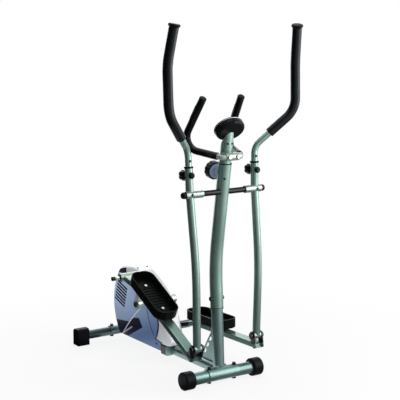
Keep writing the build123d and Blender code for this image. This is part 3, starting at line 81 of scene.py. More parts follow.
ARM_R = 0.016
POST_R = 0.027
POST_FOOT = (0.305, 0.307)
POST_BEND = (0.2939, 0.4926)
POST_TOP = (0.3583, 0.905)
CRANK_SLEEVE_END = 0.197
PIN_BANDS = (-0.001, 0.006, 0.024)
PEDAL_BOLT_R = 0.0062
PEDAL_BOLTS = {
    "right": ((0.0201, -0.163, 0.3647), (0.1536, -0.163, 0.2963)),
    "left": ((-0.0543, 0.163, 0.1645), (0.0957, 0.163, 0.1669)),
}
CRANK_PIN = {"right": (-0.14007, 0.0, 0.36903), "left": (-0.19653, 0.0, 0.09397)}
COLLAR_BLACK_END = (-0.011, 0.0, 0.0)
BLACK_BOLTS_BELOW = 0.9
FRONT_TUBE = (0.3397, 0.0, 0.0359)
FRONT_SADDLE_R = 0.0315
# Reach of the painted shade round the left foot bar's rear end
SHADED_REAR_END_R = 0.085
CONSOLE_AT = (0.3897, 0.0, 1.042)
CONSOLE_UP = (0.643, 0.0, 0.766)
CONSOLE_OUT = (-0.766, 0.0, 0.643)
DIAL_AT = (0.35096, 0.0, 0.858)
DIAL_OUT = (-0.988, 0.0, 0.154)
DIAL_FACE_R = 0.0225
DIAL_FACE_OUT = 0.081
DIAL_FACE_SINK = 0.004
CONSOLE_HALF = (0.064, 0.053)
CONSOLE_SEAM = 0.011
DISPLAY_OUT = 0.017
CRANK = Vector(JOINTS["crank_spin"]["pos_m"])
LOW_PIN = {name: Vector(JOINTS[f"foot_{name}_pivot"]["pos_m"]) for name, _ in SIDES}
PIVOT = {name: Vector(JOINTS[f"arm_{name}_swing"]["pos_m"]) for name, _ in SIDES}

# Reach of the painted ends, in metres
SIDE_ON = (1, 0, 1)
FORK_END_R = 0.036
PIN_END_R = 0.03
BOLT_RIM_R = 0.018
REAR_SLEEVE_R = 0.03
SLEEVE_EDGE = 0.0007

# Trim, welds, small fasteners and foam, in metres and degrees
BEAD_SIDES = 8
BEAD_POINTS = 48
BEAD_SKIP = 8
BEAD_W = 0.0085
BEAD_TAPER = 0.0035
BEAD_H = 0.0024
BEAD_SINK = 0.0012
SEAM_POINTS = 32
SEAM_SKIP = 6
LEAF_POINTS = 24
PIPING_W = 0.0052
PIPING_H = 0.0017
PIPING_SINK = 0.001
BLADE_HALF_POINTS = 6
BLADE_W = 0.0046
BLADE_H = 0.0022
BLADE_OUT = 0.0002
FOOT_SEAL_R = 0.0009
FOOT_SEAL_SINK = 0.0002
# Dark ring at the mast joint, standing in for the shadow under the clamp as painted shadow
TOP_SHADE_RING_R = 0.0018
TOP_SHADE_RING_SINK = 0.001
WELD_R = 0.0014
WELD_RIPPLE = 0.25
WELD_POINTS = 64
SCREW_R = 0.0046
SCREW_H = 0.0024
SCREW_SIDES = 24
SCREW_OUTLINE = [(1.0, -0.3), (1.0, 0.25), (0.93, 0.62), (0.76, 0.88), (0.58, 1.0)]
SCREW_SOCKET = [(0.46, 1.0), (0.44, 0.4)]
SOCKET_FIT = 1.1
POST_SCREW = (0.7, -0.012, 0.845)
MAST_SCREWS = ((0.7, -0.011, 0.985), (0.7, 0.009, 0.985))
PANEL_SCREW = (-0.087, 0.3, 0.065)
SHELL_SCREW = (-0.277, 0.024, 0.6)
LOOK_FROM = 0.3
LOOK_FROM_DIAL = 0.2
WELD_LOOK_UP = 0.03
CONSOLE_BEAD_R = 0.0013
CONSOLE_POINTS = 96
DIGIT_W = 0.0011
DIGIT_H = 0.0003
DIGIT_GAP = 0.0007
DIAL_BARS = 9
DIAL_START = 210.0
DIAL_SWEEP = 240.0
DIAL_BAR_W = 0.0016
DIAL_BAR_H = 0.0006
DIAL_BAR_L = 0.003
DIAL_BAR_GROWTH = 0.0007
DIAL_BAR_INSET = 0.003
POINTER_W = 0.0024
POINTER_H = 0.0008
POINTER_SPAN = (0.003, 0.0085)
FOAM_LIP = 0.0035
FOAM_LIP_SHARE = 0.8
FOAM_LIP_RINGS = 5
FOAM_WAVE = 0.00025
FOAM_WAVES_PER_M = 38.0


# Shader graphs


class Graph:
    """One material's node tree, with short calls for the nodes used here."""

    def __init__(self, name):
        self.material = bpy.data.materials.new(name)
        self.material.use_nodes = True
        self.tree = self.material.node_tree
        self.tree.nodes.clear()
        self.shader = self.tree.nodes.new("ShaderNodeBsdfPrincipled")
        out = self.tree.nodes.new("ShaderNodeOutputMaterial")
        self.tree.links.new(self.shader.outputs["BSDF"], out.inputs["Surface"])
        self.place = self.tree.nodes.new("ShaderNodeTexCoord").outputs["Object"]

    def feed(self, socket, value):
        if isinstance(value, bpy.types.NodeSocket):
            self.tree.links.new(value, socket)
        elif hasattr(value, "__len__") and len(value) == 3 and socket.type == "RGBA":
            socket.default_value = (*value, 1.0)
        else:
            socket.default_value = value

    def set(self, **values):
        for name, value in values.items():
            self.feed(self.shader.inputs[name.replace("_", " ")], value)

    def math(self, operation, a, b=0.0):
        node = self.tree.nodes.new("ShaderNodeMath")
        node.operation = operation
        self.feed(node.inputs[0], a)
        self.feed(node.inputs[1], b)
        return node.outputs[0]

    def vector(self, operation, a, b):
        node = self.tree.nodes.new("ShaderNodeVectorMath")
        node.operation = operation
        self.feed(node.inputs[0], a)
        self.feed(node.inputs[1], b)
        return node.outputs["Value" if operation in ("DISTANCE", "DOT_PRODUCT") else "Vector"]

    def within(self, point, radius, keep=(1, 1, 1), soft=0.0008):
        """1 nearer than a radius to a point, measured along the kept axes only."""
        flat = self.vector("MULTIPLY", self.place, keep)
        gone = self.vector("DISTANCE", flat, tuple(p * k for p, k in zip(point, keep)))
        return self.span(gone, radius - soft, radius + soft, 1.0, 0.0)

    def beyond(self, point, way, soft=0.0004):
        """1 on the far side of the plane through a point, square to a direction."""
        way = Vector(way).normalized()
        reach = self.vector("DOT_PRODUCT", self.place, tuple(way))
        start = way.dot(Vector(point))
        return self.span(reach, start - soft, start + soft)

    def axes(self):
        node = self.tree.nodes.new("ShaderNodeSeparateXYZ")
        self.feed(node.inputs[0], self.place)
        return node.outputs

    def stretched(self, scale):
        node = self.tree.nodes.new("ShaderNodeMapping")
        self.feed(node.inputs["Vector"], self.place)
        node.inputs["Scale"].default_value = scale
        return node.outputs[0]

    def noise(self, scale, detail=3.0, vector=None):
        node = self.tree.nodes.new("ShaderNodeTexNoise")
        self.feed(node.inputs["Vector"], vector or self.place)
        node.inputs["Scale"].default_value = scale
        node.inputs["Detail"].default_value = detail
        return node.outputs[0]

    def cells(self, scale):
        node = self.tree.nodes.new("ShaderNodeTexVoronoi")
        self.feed(node.inputs["Vector"], self.place)
        node.inputs["Scale"].default_value = scale
        return node.outputs["Distance"]

    def span(self, value, low, high, to_low=0.0, to_high=1.0):
        node = self.tree.nodes.new("ShaderNodeMapRange")
        self.feed(node.inputs[0], value)
        for index, number in enumerate((low, high, to_low, to_high), 1):
            node.inputs[index].default_value = number
        return node.outputs[0]

    def mix(self, share, a, b):
        node = self.tree.nodes.new("ShaderNodeMix")
        node.data_type = "RGBA"
        self.feed(node.inputs["Factor"], share)
        self.feed(node.inputs[6], a)
        self.feed(node.inputs[7], b)
        return node.outputs[2]

    def bump(self, height, strength, distance, normal=None):
        node = self.tree.nodes.new("ShaderNodeBump")
        node.inputs["Strength"].default_value = strength
        node.inputs["Distance"].default_value = distance
        self.feed(node.inputs["Height"], height)
        if normal:
            self.feed(node.inputs["Normal"], normal)
        return node.outputs[0]

    def inside(self, lines, soft=0.0012):
        """1 where every line a*x + b*z + c is positive, with a soft edge."""
        x, _, z = self.axes()
        share = None
        for a, b, c in lines:
            size = math.hypot(a, b)
            along_x = self.math("MULTIPLY", x, a / size)
            along_z = self.math("MULTIPLY", z, b / size)
            part = self.math("ADD", along_x, along_z)
            part = self.span(self.math("ADD", part, c / size), -soft, soft)
            share = part if share is None else self.math("MULTIPLY", share, part)
        return share


def through(p, q):
    """Line through two points in X and Z, positive on the left of the way from p to q."""
    dx, dz = q[0] - p[0], q[1] - p[1]
    return (-dz, dx, dz * p[0] - dx * p[1])


# Tones and shared shader settings
BLACK_TONE = (0.0034, 0.0038, 0.0056)
BLUE_TONE = (0.165, 0.205, 0.30)
PALE_TONE = (0.36, 0.42, 0.375)
# Darker copy of the green-grey lacquer for the front floor tube, as painted shade
FRONT_SHADED_TONE = (0.15, 0.245, 0.23)
NAVY = (0.006, 0.008, 0.028)
# Painted shade and painted light of the side panel: its low and high tones
PANEL_SHADED_TONE = (0.125, 0.205, 0.385)
PANEL_LIT_TONE = (0.55, 0.70, 0.96)
PANEL_FLAKE_TONE = (0.55, 0.66, 0.85)
PANEL_FLASH_TONE = (0.42, 0.45, 0.56)
# Painted shade on the lips round the louvre slots
PANEL_SLOT_SHADE = (0.004, 0.005, 0.014)
# Painted shade on the panel's walls and grooves
PANEL_WALL_SHADE = (0.005, 0.006, 0.012)
PANEL_WALL_Y = (0.0460, 0.0466)
PANEL_TILT = 0.45
PANEL_LIGHT_FADE = (0.16, 0.46)
LOUVRE_LIP = 0.31
LOUVRE_BLUR = 0.04
LOUVRE_MARGIN = (0.002, 0.004)
PEARL_TONES = ((0.68, 0.71, 0.75), (0.80, 0.81, 0.83))
MICA_TONE = (0.90, 0.91, 0.94)
GRIME_TONE = (0.45, 0.45, 0.5)
GLASS_TONES = ((0.16, 0.19, 0.16), (0.24, 0.27, 0.23))
COOL_GLOSS = (0.84, 0.96, 1.0)
FLAKES_PER_M = 1500.0
MICA_PER_M = 1800.0
PORES_PER_M = 1300.0
COAT_ROUGH = 0.08


def paint(name, dark, light, metallic=0.86, rough=(0.29, 0.35), black=None, pale=None,
          pale_tone=PALE_TONE):
    """Metallic lacquer: drifting tone, fine flakes, orange peel and a thin clear coat."""
    g = Graph(name)
    tone = g.mix(g.span(g.noise(5.0, 4.0), 0.35, 0.65), dark, light)
    flakes = g.span(g.cells(FLAKES_PER_M), 0.0, 0.35, 0.14, 0.0)
    colour = g.mix(flakes, tone, tuple(min(1.0, c * 1.5) for c in light))
    scuffs = g.span(g.noise(60.0, 8.0), 0.62, 0.75, 0.0, 0.18)
    colour = g.mix(scuffs, colour, tuple(c * 0.6 for c in dark))
    g.set(Metallic=metallic, Coat_Weight=0.25, Coat_Roughness=COAT_ROUGH)
    if pale:
        colour = g.mix(pale(g), colour, pale_tone)
    if black:
        mask = black(g)
        colour = g.mix(mask, colour, BLACK_TONE)
        g.set(Metallic=g.span(mask, 0.0, 1.0, metallic, 0.0))
    g.set(Base_Color=colour, Roughness=g.span(g.noise(28.0, 5.0), 0.3, 0.7, *rough))
    g.set(Normal=g.bump(g.noise(180.0, 2.0), 0.005, 0.0006))
    return g.material


def steel(name, colour, rough=(0.16, 0.3), streak=(700.0, 40.0, 700.0), black=None):
    """Plated or turned metal with fine streaks."""
    g = Graph(name)
    lines = g.noise(1.0, 4.0, g.stretched(streak))
    tone = g.mix(g.span(lines, 0.3, 0.7), tuple(c * 0.82 for c in colour), colour)
    stain = g.span(g.noise(40.0, 6.0), 0.55, 0.8, 0.0, 0.25)
    tone = g.mix(stain, tone, tuple(c * 0.5 for c in colour))
    g.set(Metallic=1.0)
    if black:
        mask = black(g)
        tone = g.mix(mask, tone, BLACK_TONE)
        g.set(Metallic=g.span(mask, 0.0, 1.0, 1.0, 0.0))
    g.set(Base_Color=tone, Roughness=g.span(lines, 0.2, 0.8, *rough), Normal=g.bump(lines, 0.08, 0.0002))
    return g.material


def plastic(name, colour, rough=(0.34, 0.48), grain=900.0, depth=0.1, gloss=0.1, face=None):
    """Moulded plastic with a spark-eroded grain, flow marks and rubbed spots."""
    g = Graph(name)
    flow = g.span(g.noise(14.0, 5.0), 0.3, 0.7)
    rubbed = g.span(g.noise(75.0, 7.0), 0.58, 0.72, 0.0, 0.3)
    tone = g.mix(flow, tuple(c * 0.8 for c in colour), tuple(c * 1.2 for c in colour))
    tone = g.mix(rubbed, tone, tuple(min(1.0, c * 1.6 + 0.002) for c in colour))
    if face:
        tone = g.mix(face(g), tone, BLUE_TONE)
    g.set(Base_Color=tone, Specular_IOR_Level=gloss, Specular_Tint=COOL_GLOSS)
    g.set(Roughness=g.span(g.math("SUBTRACT", flow, rubbed), -0.3, 1.0, *rough))
    fine = g.bump(g.cells(grain), depth, 0.0003)
    g.set(Normal=g.bump(g.noise(120.0, 3.0), 0.05, 0.0005, fine))
    return g.material


def foam(name, colour):
    """Closed-cell foam: fine pores, a smooth skin and a worn, paler bloom."""
    g = Graph(name)
    pores = g.cells(PORES_PER_M)
    bloom = g.span(g.noise(22.0, 6.0), 0.4, 0.75, 0.0, 0.4)
    tone = g.mix(bloom, colour, tuple(c * 2.0 for c in colour))
    tone = g.mix(g.span(pores, 0.0, 0.25, 0.6, 0.0), tone, tuple(c * 0.3 for c in colour))
    g.set(Base_Color=tone, Specular_IOR_Level=0.32, Specular_Tint=COOL_GLOSS)
    g.set(Roughness=g.span(bloom, 0.0, 0.4, 0.2, 0.28))
    g.set(Normal=g.bump(g.noise(420.0, 3.0), 0.015, 0.0006, g.bump(pores, 0.03, 0.0004)))
    return g.material


def pearl(name):
    """White pearl housing: fine mica, a faint cool drift and a deep coat."""
    g = Graph(name)
    tone = g.mix(g.span(g.noise(4.0, 3.0), 0.35, 0.65), *PEARL_TONES)
    mica = g.span(g.cells(MICA_PER_M), 0.0, 0.3, 0.3, 0.0)
    grime = g.span(g.noise(45.0, 8.0), 0.6, 0.78, 0.0, 0.08)
    tone = g.mix(mica, tone, MICA_TONE)
    g.set(Base_Color=g.mix(grime, tone, GRIME_TONE), Coat_Weight=0.6, Coat_Roughness=0.07)
    g.set(Roughness=g.span(g.noise(30.0, 4.0), 0.3, 0.7, 0.26, 0.36))
    g.set(Metallic=0.05, Normal=g.bump(g.noise(160.0, 2.0), 0.03, 0.0006))
    return g.material


def area(g, corners):
    """Mask of a convex outline in X and Z, its corners in anticlockwise order."""
    return g.inside([through(p, q) for p, q in zip(corners, corners[1:] + corners[:1])])


# Colour fields of the side panel, as corners in X and Z
PANEL_WEDGE = [(-0.291, 0.136), (-0.415, 0.030), (-0.352, 0.030), (-0.203, 0.111), (-0.234, 0.147)]
PANEL_PATCH = [(-0.48, 0.092), (-0.48, 0.02), (-0.42, 0.02), (-0.318, 0.112), (-0.391, 0.104)]
PANEL_FLASH = [(-0.400, 0.036), (-0.385, 0.036), (-0.290, 0.092), (-0.296, 0.096)]
PANEL_FIN = [(-0.46, 0.324), (-0.348, 0.326), (-0.32, 0.36), (-0.46, 0.37)]


def louvre_slot_shade(g):
    """Mask of painted shade on the lips round the louvre slots, counted along the row of slots."""
    run = (math.cos(LOUVRE_SLOPE), math.sin(LOUVRE_SLOPE))
    pitch = run[0] * LOUVRE_STEP[1] - run[1] * LOUVRE_STEP[0]
    drift = run[0] * LOUVRE_STEP[0] + run[1] * LOUVRE_STEP[1]
    x, _, z = g.axes()
    dx = g.math("SUBTRACT", x, LOUVRE_LOW[0])
    dz = g.math("SUBTRACT", z, LOUVRE_LOW[1])
    climb = g.math("MULTIPLY", dz, run[0] / pitch)
    across = g.math("SUBTRACT", climb, g.math("MULTIPLY", dx, run[1] / pitch))
    along = g.math("ADD", g.math("MULTIPLY", dx, run[0]), g.math("MULTIPLY", dz, run[1]))
    along = g.math("ABSOLUTE", g.math("SUBTRACT", along, g.math("MULTIPLY", across, drift)))
    off = g.math("ABSOLUTE", g.math("SUBTRACT", g.math("FRACT", g.math("ADD", across, 0.5)), 0.5))
    near = g.span(off, LOUVRE_LIP - LOUVRE_BLUR, LOUVRE_LIP + LOUVRE_BLUR, 1.0, 0.0)
    start = g.span(across, -0.5, -0.45)
    end = g.span(across, LOUVRES - 0.55, LOUVRES - 0.5, 1.0, 0.0)
    low, high = (LOUVRE_L / 2 + margin for margin in LOUVRE_MARGIN)
    near = g.math("MULTIPLY", near, g.span(along, low, high, 1.0, 0.0))
    return g.math("MULTIPLY", near, g.math("MULTIPLY", start, end))


def panel_paint(name):
    """Blue-grey metallic panel with navy fields and a paler flash, lighter towards the top and rear and
    darker towards the bottom as painted light and shade, with painted shade on its walls, grooves and the
    lips round its louvre slots.
    """
    g = Graph(name)
    x, y, z = g.axes()
    # Painted light and shade: the tone runs from the shaded low tone at the bottom to the lit high tone
    # towards the top and rear
    rise = g.math("SUBTRACT", z, g.math("MULTIPLY", x, PANEL_TILT))
    uneven = g.span(g.noise(5.0, 3.0), 0.3, 0.7, -0.08, 0.08)
    drift = g.math("ADD", g.span(rise, *PANEL_LIGHT_FADE), uneven)
    tone = g.mix(drift, PANEL_SHADED_TONE, PANEL_LIT_TONE)
    flakes = g.span(g.cells(FLAKES_PER_M), 0.0, 0.35, 0.2, 0.0)
    tone = g.mix(flakes, tone, PANEL_FLAKE_TONE)
    for corners in (PANEL_WEDGE, PANEL_PATCH, PANEL_FIN):
        tone = g.mix(area(g, corners), tone, NAVY)
    tone = g.mix(area(g, PANEL_FLASH), tone, PANEL_FLASH_TONE)
    # Painted shade round the louvre slots
    tone = g.mix(louvre_slot_shade(g), tone, PANEL_SLOT_SHADE)
    # Painted shade: walls and grooves inboard of the panel face are near black
    walls = g.span(g.math("ABSOLUTE", y), *PANEL_WALL_Y, 1.0, 0.0)
    g.set(Base_Color=g.mix(walls, tone, PANEL_WALL_SHADE), Metallic=0.12, Specular_IOR_Level=0.2)
    g.set(Roughness=g.span(g.noise(26.0, 5.0), 0.3, 0.7, 0.28, 0.38))
    g.set(Coat_Weight=0.1, Coat_Roughness=COAT_ROUGH, Normal=g.bump(g.noise(220.0, 2.0), 0.04, 0.0006))
    return g.material


def glass(name):
    """Smoked display window with a faint dust film."""
    g = Graph(name)
    dust = g.span(g.noise(90.0, 6.0), 0.5, 0.8)
    g.set(Base_Color=g.mix(dust, *GLASS_TONES))
    g.set(Roughness=g.span(dust, 0.0, 1.0, 0.06, 0.22), Coat_Weight=0.6, Coat_Roughness=0.03)
    return g.material


def fork_and_shaded_end(name):
    """Mask of the black fork at a foot bar's lower end, and of painted shade over the left bar's rear end.
    """
    def mask(g):
        low = g.within(LOW_PIN[name], FORK_END_R, SIDE_ON)
        if name == "right":
            return low
        # Painted shade: the left bar's rear end round its crank pin is painted black
        return g.math("MAXIMUM", low, g.within(CRANK_PIN[name], SHADED_REAR_END_R, SIDE_ON))
    return mask


def pin_ends(name, side):
    """Mask of the black caps on a foot bar's pins."""
    def mask(g):
        low = g.within(LOW_PIN[name], PIN_END_R, SIDE_ON)
        starts = [(0.0, side * (CRANK_SLEEVE_END + band), 0.0) for band in PIN_BANDS]
        start, ring, tip = (g.beyond(spot, (0, side, 0)) for spot in starts)
        dark = g.math("MAXIMUM", low, g.math("MAXIMUM", tip, g.math("SUBTRACT", start, ring)))
        for head in PEDAL_BOLTS[name]:
            rim = g.math("SUBTRACT", g.within(head, BOLT_RIM_R), g.within(head, PEDAL_BOLT_R))
            dark = g.math("MAXIMUM", dark, rim)
        return dark
    return mask


def rear_sleeve(g):
    """Mask of the right foot bar's pale rear sleeve."""
    return g.within(CRANK_PIN["right"], REAR_SLEEVE_R, SIDE_ON)


def front_saddle(g):
    """Mask of the frame's saddle on the front floor tube."""
    return g.within(FRONT_TUBE, FRONT_SADDLE_R, SIDE_ON)


def pivot_sleeve(name):
    """Mask of an arm's bright pivot sleeve."""
    return lambda g: g.within(PIVOT[name], SLEEVE_R + SLEEVE_EDGE, SIDE_ON)


def collar_end(g):
    """Mask of the black rear end of the rail's collar."""
    return g.beyond(COLLAR_BLACK_END, (-1, 0, 0))


def low_bolts(g):
    """Mask of the blackened bolts below the handlebar."""
    return g.beyond((0, 0, BLACK_BOLTS_BELOW), (0, 0, -1))


def dial_face(g):
    """Mask of the sunk face of the tension knob."""
    centre = Vector(DIAL_AT) + Vector(DIAL_OUT) * DIAL_FACE_OUT
    deep = g.beyond(centre - Vector(DIAL_OUT) * DIAL_FACE_SINK, DIAL_OUT)
    return g.math("MULTIPLY", deep, g.within(centre, DIAL_FACE_R))


# Materials
# Darker copy of the green-grey lacquer for the lower arms, as painted shade
ARM_SHADED_GREY = ((0.21, 0.322, 0.28), (0.252, 0.38, 0.335))
# Darker copy of the green-grey lacquer for the foot bars, as painted shade
FOOT_SHADED_GREY = ((0.15, 0.245, 0.215), (0.18, 0.285, 0.25))
GREEN_GREY = ((0.275, 0.415, 0.362), (0.33, 0.49, 0.432))
SILVER = paint("silver_green_lacquer", *GREEN_GREY)
FRAME_GREY = ((0.21, 0.315, 0.31), (0.26, 0.375, 0.37))
# The frame's saddle on the front tube takes the front tube's shaded tone, as painted shade
FRAME_SILVER = paint("frame_lacquer", *FRAME_GREY, pale=front_saddle, pale_tone=FRONT_SHADED_TONE)
# Front floor tube in a darker copy of the green-grey lacquer, as painted shade
FRONT_SHADED_SILVER = paint("front_tube_shaded_lacquer", (0.125, 0.205, 0.19), FRONT_SHADED_TONE)
COLLAR = paint("collar_lacquer", *FRAME_GREY, black=collar_end)
DARK_TUBE = paint("slate_lacquer", (0.055, 0.075, 0.085), (0.085, 0.11, 0.12))
BRIGHT = steel("bright_plate", (0.58, 0.62, 0.60))
DARK_STEEL = steel("blackened_steel", (0.05, 0.055, 0.055), (0.25, 0.4))
BOLT_PLATE = steel("bolt_plate", (0.50, 0.57, 0.52), black=low_bolts)
WHITE_METAL = paint("white_silver_lacquer", (0.50, 0.56, 0.53), (0.58, 0.64, 0.61), 0.6)
# Lighter copy of the green-grey lacquer for the handlebar and its clamp, as painted highlight
LIT_SILVER = paint("lit_silver_lacquer", (0.38, 0.44, 0.395), (0.45, 0.52, 0.47), 0.7)
IRON = steel("turned_iron", (0.30, 0.30, 0.31), (0.3, 0.5))
BLACK = plastic("black_plastic", BLACK_TONE)
BLACK_GLOSS = plastic("black_gloss", (0.003, 0.0032, 0.0045), (0.07, 0.14), 1400.0, 0.02, gloss=0.16)
COVER_BLACK = plastic("cover_black", (0.0028, 0.003, 0.0036), (0.09, 0.16), 1400.0, 0.02, gloss=0.22)
CONSOLE_BLACK = plastic("console_black", (0.0028, 0.0032, 0.0042), (0.1, 0.17), 1400.0, 0.02, gloss=0.11)
TRAY_BLACK = plastic("tray_plastic", (0.0022, 0.0022, 0.0024), (0.3, 0.44), 520.0, 0.3, gloss=0.07)
KNOB_BLACK = plastic("knob_plastic", (0.005, 0.005, 0.006), (0.12, 0.22), 1200.0, 0.03,
                     gloss=0.25, face=dial_face)
BLUE_PLASTIC = plastic("blue_grey_plastic", BLUE_TONE, (0.25, 0.4), 800.0, 0.1, gloss=0.35)
FOAM = foam("black_foam", (0.002, 0.0021, 0.0026))
RUBBER = plastic("belt_rubber", (0.012, 0.012, 0.012), (0.6, 0.75), 400.0, 0.4)
PEARL = pearl("white_pearl")
PANEL = panel_paint("blue_grey_panel")
LENS = glass("smoked_window")


def dress():
    """Gives every carried-over solid its material."""
    worn = {
        SILVER: ["upper_post", "console_mast"],
        FRONT_SHADED_SILVER: ["front_stabilizer"],
        BLUE_PLASTIC: ["tension_base"],
        FRAME_SILVER: ["base_frame"],
        DARK_TUBE: ["rear_stabilizer"],
        BRIGHT: ["pivot_axle", "pulse_plates", "crank_axle", "flywheel_axle"],
        IRON: ["flywheel", "bracket_magnets", "magnet_bracket", "crank_bearings"],
        BLACK: ["front_caps", "rear_caps", "handlebar_plugs", "drive_pulley"],
        BLACK_GLOSS: ["axle_caps"],
        CONSOLE_BLACK: ["console_shell", "console_face", "console_button"],
        RUBBER: ["drive_belt"],
        LENS: ["console_lens"],
        KNOB_BLACK: ["tension_knob"],
        DARK_STEEL: ["crank_nuts"],
        BOLT_PLATE: ["frame_bolts"],
        COLLAR: ["rail_collar"],
        COVER_BLACK: ["axle_sleeves"],
        LIT_SILVER: ["handlebar_tube", "handlebar_clamp"],
        WHITE_METAL: [],
        TRAY_BLACK: [],
        PEARL: [],
        PANEL: [],
    }
    for name, side in SIDES:
        worn[SILVER].append(f"handle_tube_{name}")
        arm = paint(f"arm_shaded_lacquer_{name}", *ARM_SHADED_GREY, pale=pivot_sleeve(name))
        worn[arm] = [f"lower_arm_{name}"]
        sleeve = rear_sleeve if name == "right" else None
        bar = paint(f"foot_bar_shaded_lacquer_{name}", *FOOT_SHADED_GREY, black=fork_and_shaded_end(name), pale=sleeve)
        worn[bar] = [f"foot_bar_{name}"]
        pins = steel(f"foot_pin_plate_{name}", (0.70, 0.74, 0.71), black=pin_ends(name, side))
        worn[pins] = [f"foot_pins_{name}"]
        worn[DARK_STEEL].append(f"arm_screws_{name}")
        worn[WHITE_METAL].append(f"crank_arm_{name}")
        worn[BLACK] += [f"handle_cap_{name}", f"arm_collar_{name}", f"arm_bushes_{name}"]
        worn[BLACK_GLOSS].append(f"arm_knob_{name}")
        worn[TRAY_BLACK].append(f"pedal_{name}")
        worn[PEARL].append(f"shell_{name}")
        worn[PANEL].append(f"panel_{name}")
    for material, names in worn.items():
        for node in names:
            NODES[node].data.materials.clear()
            NODES[node].data.materials.append(material)


# Mesh helpers


def piece(name, mesh_builder, material, body, smooth=40.0):
    """Object from a bmesh, shaded smooth below an angle, riding on a body."""
    mesh = bpy.data.meshes.new(name)
    built = bmesh.new()
    mesh_builder(built)
    bmesh.ops.recalc_face_normals(built, faces=built.faces)
    for face in built.faces:
        face.smooth = True
    for edge in built.edges:
        if len(edge.link_faces) == 2:
            edge.smooth = edge.calc_face_angle(0.0) < math.radians(smooth)
    built.to_mesh(mesh)
    built.free()
    mesh.materials.append(material)
    obj = bpy.data.objects.new(name, mesh)
    bpy.context.scene.collection.objects.link(obj)
    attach(obj, body)
    return obj


def bent(points, radii, step=0.006):
    """Points along straight runs joined by arcs of the given radii."""
    points = [Vector(p) for p in points]
    line = [points[0]]
    for i, radius in enumerate(radii, 1):
        before = (points[i - 1] - points[i]).normalized()
        after = (points[i + 1] - points[i]).normalized()
        half = before.angle(after) / 2
        reach = radius / math.tan(half)
        middle = points[i] + (before + after).normalized() * (radius / math.sin(half))
        start, end = points[i] + before * reach, points[i] + after * reach
        count = max(4, int(radius * (math.pi - 2 * half) / step))
        a, b = (start - middle).normalized(), (end - middle).normalized()
        line += [middle + a.slerp(b, k / count) * radius for k in range(count + 1)]
    line.append(points[-1])
    full = [line[0]]
    for p, q in zip(line, line[1:]):
        parts = max(1, round((q - p).length / step))
        full += [p.lerp(q, k / parts) for k in range(1, parts + 1)]
    return full


def rings_along(built, line, radius_at, sides=32):
    """Skins rings along a line; radius_at takes distance, whole length, spot and outward way."""
    lengths = [0.0]
    for p, q in zip(line, line[1:]):
        lengths.append(lengths[-1] + (q - p).length)
    run = (line[1] - line[0]).normalized()
    across = run.orthogonal().normalized()
    rings = []
    for i, spot in enumerate(line):
        nearby = line[min(i + 1, len(line) - 1)] - line[max(i - 1, 0)]
        new = nearby.normalized()
        across = (run.rotation_difference(new) @ across).normalized()
        run = new
        other = run.cross(across)
        ring = []
        for k in range(sides):
            turn = 2 * math.pi * k / sides
            way = across * math.cos(turn) + other * math.sin(turn)
            ring.append(built.verts.new(spot + way * radius_at(lengths[i], lengths[-1], spot, way)))
        rings.append(ring)
    for a, b in zip(rings, rings[1:]):
        for k in range(sides):
            built.faces.new((a[k], a[(k + 1) % sides], b[(k + 1) % sides], b[k]))
    built.faces.new(list(reversed(rings[0])))
    built.faces.new(rings[-1])


def foam_radius(radius):
    """Radius of a foam sleeve: rounded lips at both ends and a slightly uneven skin."""
    def at(along, length, spot, way):
        end = min(along, length - along)
        drop = FOAM_LIP - math.sqrt(max(0.0, FOAM_LIP ** 2 - max(0.0, FOAM_LIP - end) ** 2))
        wave = FOAM_WAVE * noise.noise((spot + way * radius) * FOAM_WAVES_PER_M)
        return radius - drop * FOAM_LIP_SHARE + wave
    return at


def with_ends(line):
    """Adds close rings near both ends, so that the lips come out round."""
    first = (line[1] - line[0]).normalized()
    last = (line[-2] - line[-1]).normalized()
    steps = range(FOAM_LIP_RINGS)
    head = [line[0] + first * FOAM_LIP * k / FOAM_LIP_RINGS for k in steps]
    tail = [line[-1] + last * FOAM_LIP * k / FOAM_LIP_RINGS for k in reversed(steps)]
    return head + line[1:-1] + tail


def arm_place(name):
    """Carries a point drawn about the arm's pivot to its rest pose."""
    pivot = PIVOT[name]
    low = LOW_PIN[name]
    lean = math.atan2(low.x - pivot.x, pivot.z - low.z)
    return Matrix.Translation((pivot.x, 0.0, pivot.z)) @ Matrix.Rotation(-lean, 4, "Y")


def grips():
    """Foam sleeves of the swinging handles and of the fixed handlebar."""
    for name, side in SIDES:
        place = arm_place(name)
        knee, elbow, wrist, tip = (
            place @ Vector((p[0], side * p[1], p[2]))
            for p in (HANDLE_KNEE, HANDLE_ELBOW, HANDLE_WRIST, HANDLE_TIP))
        start = knee.lerp(elbow, GRIP_START)
        line = with_ends(bent([start, elbow, wrist, tip], [HANDLE_ELBOW_R, HANDLE_WRIST_R]))
        made = piece(f"foam_grip_{name}", lambda b: rings_along(b, line, foam_radius(GRIP_R)),
                     FOAM, f"arm_{name}")
        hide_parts(f"handle_grip_{name}")
    sleeves = []
    for name, side in SIDES:
        spots = [Vector((p[0], side * p[1], p[2])) for p in (BAR_FRONT, BAR_BACK, BAR_END)]
        sleeves.append(with_ends(bent(spots, [BAR_BACK_R])))

    def both(built):
        for line in sleeves:
            rings_along(built, line, foam_radius(FOAM_R))

    made = piece("handlebar_sleeves", both, FOAM, "frame")
    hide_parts("handlebar_foam")


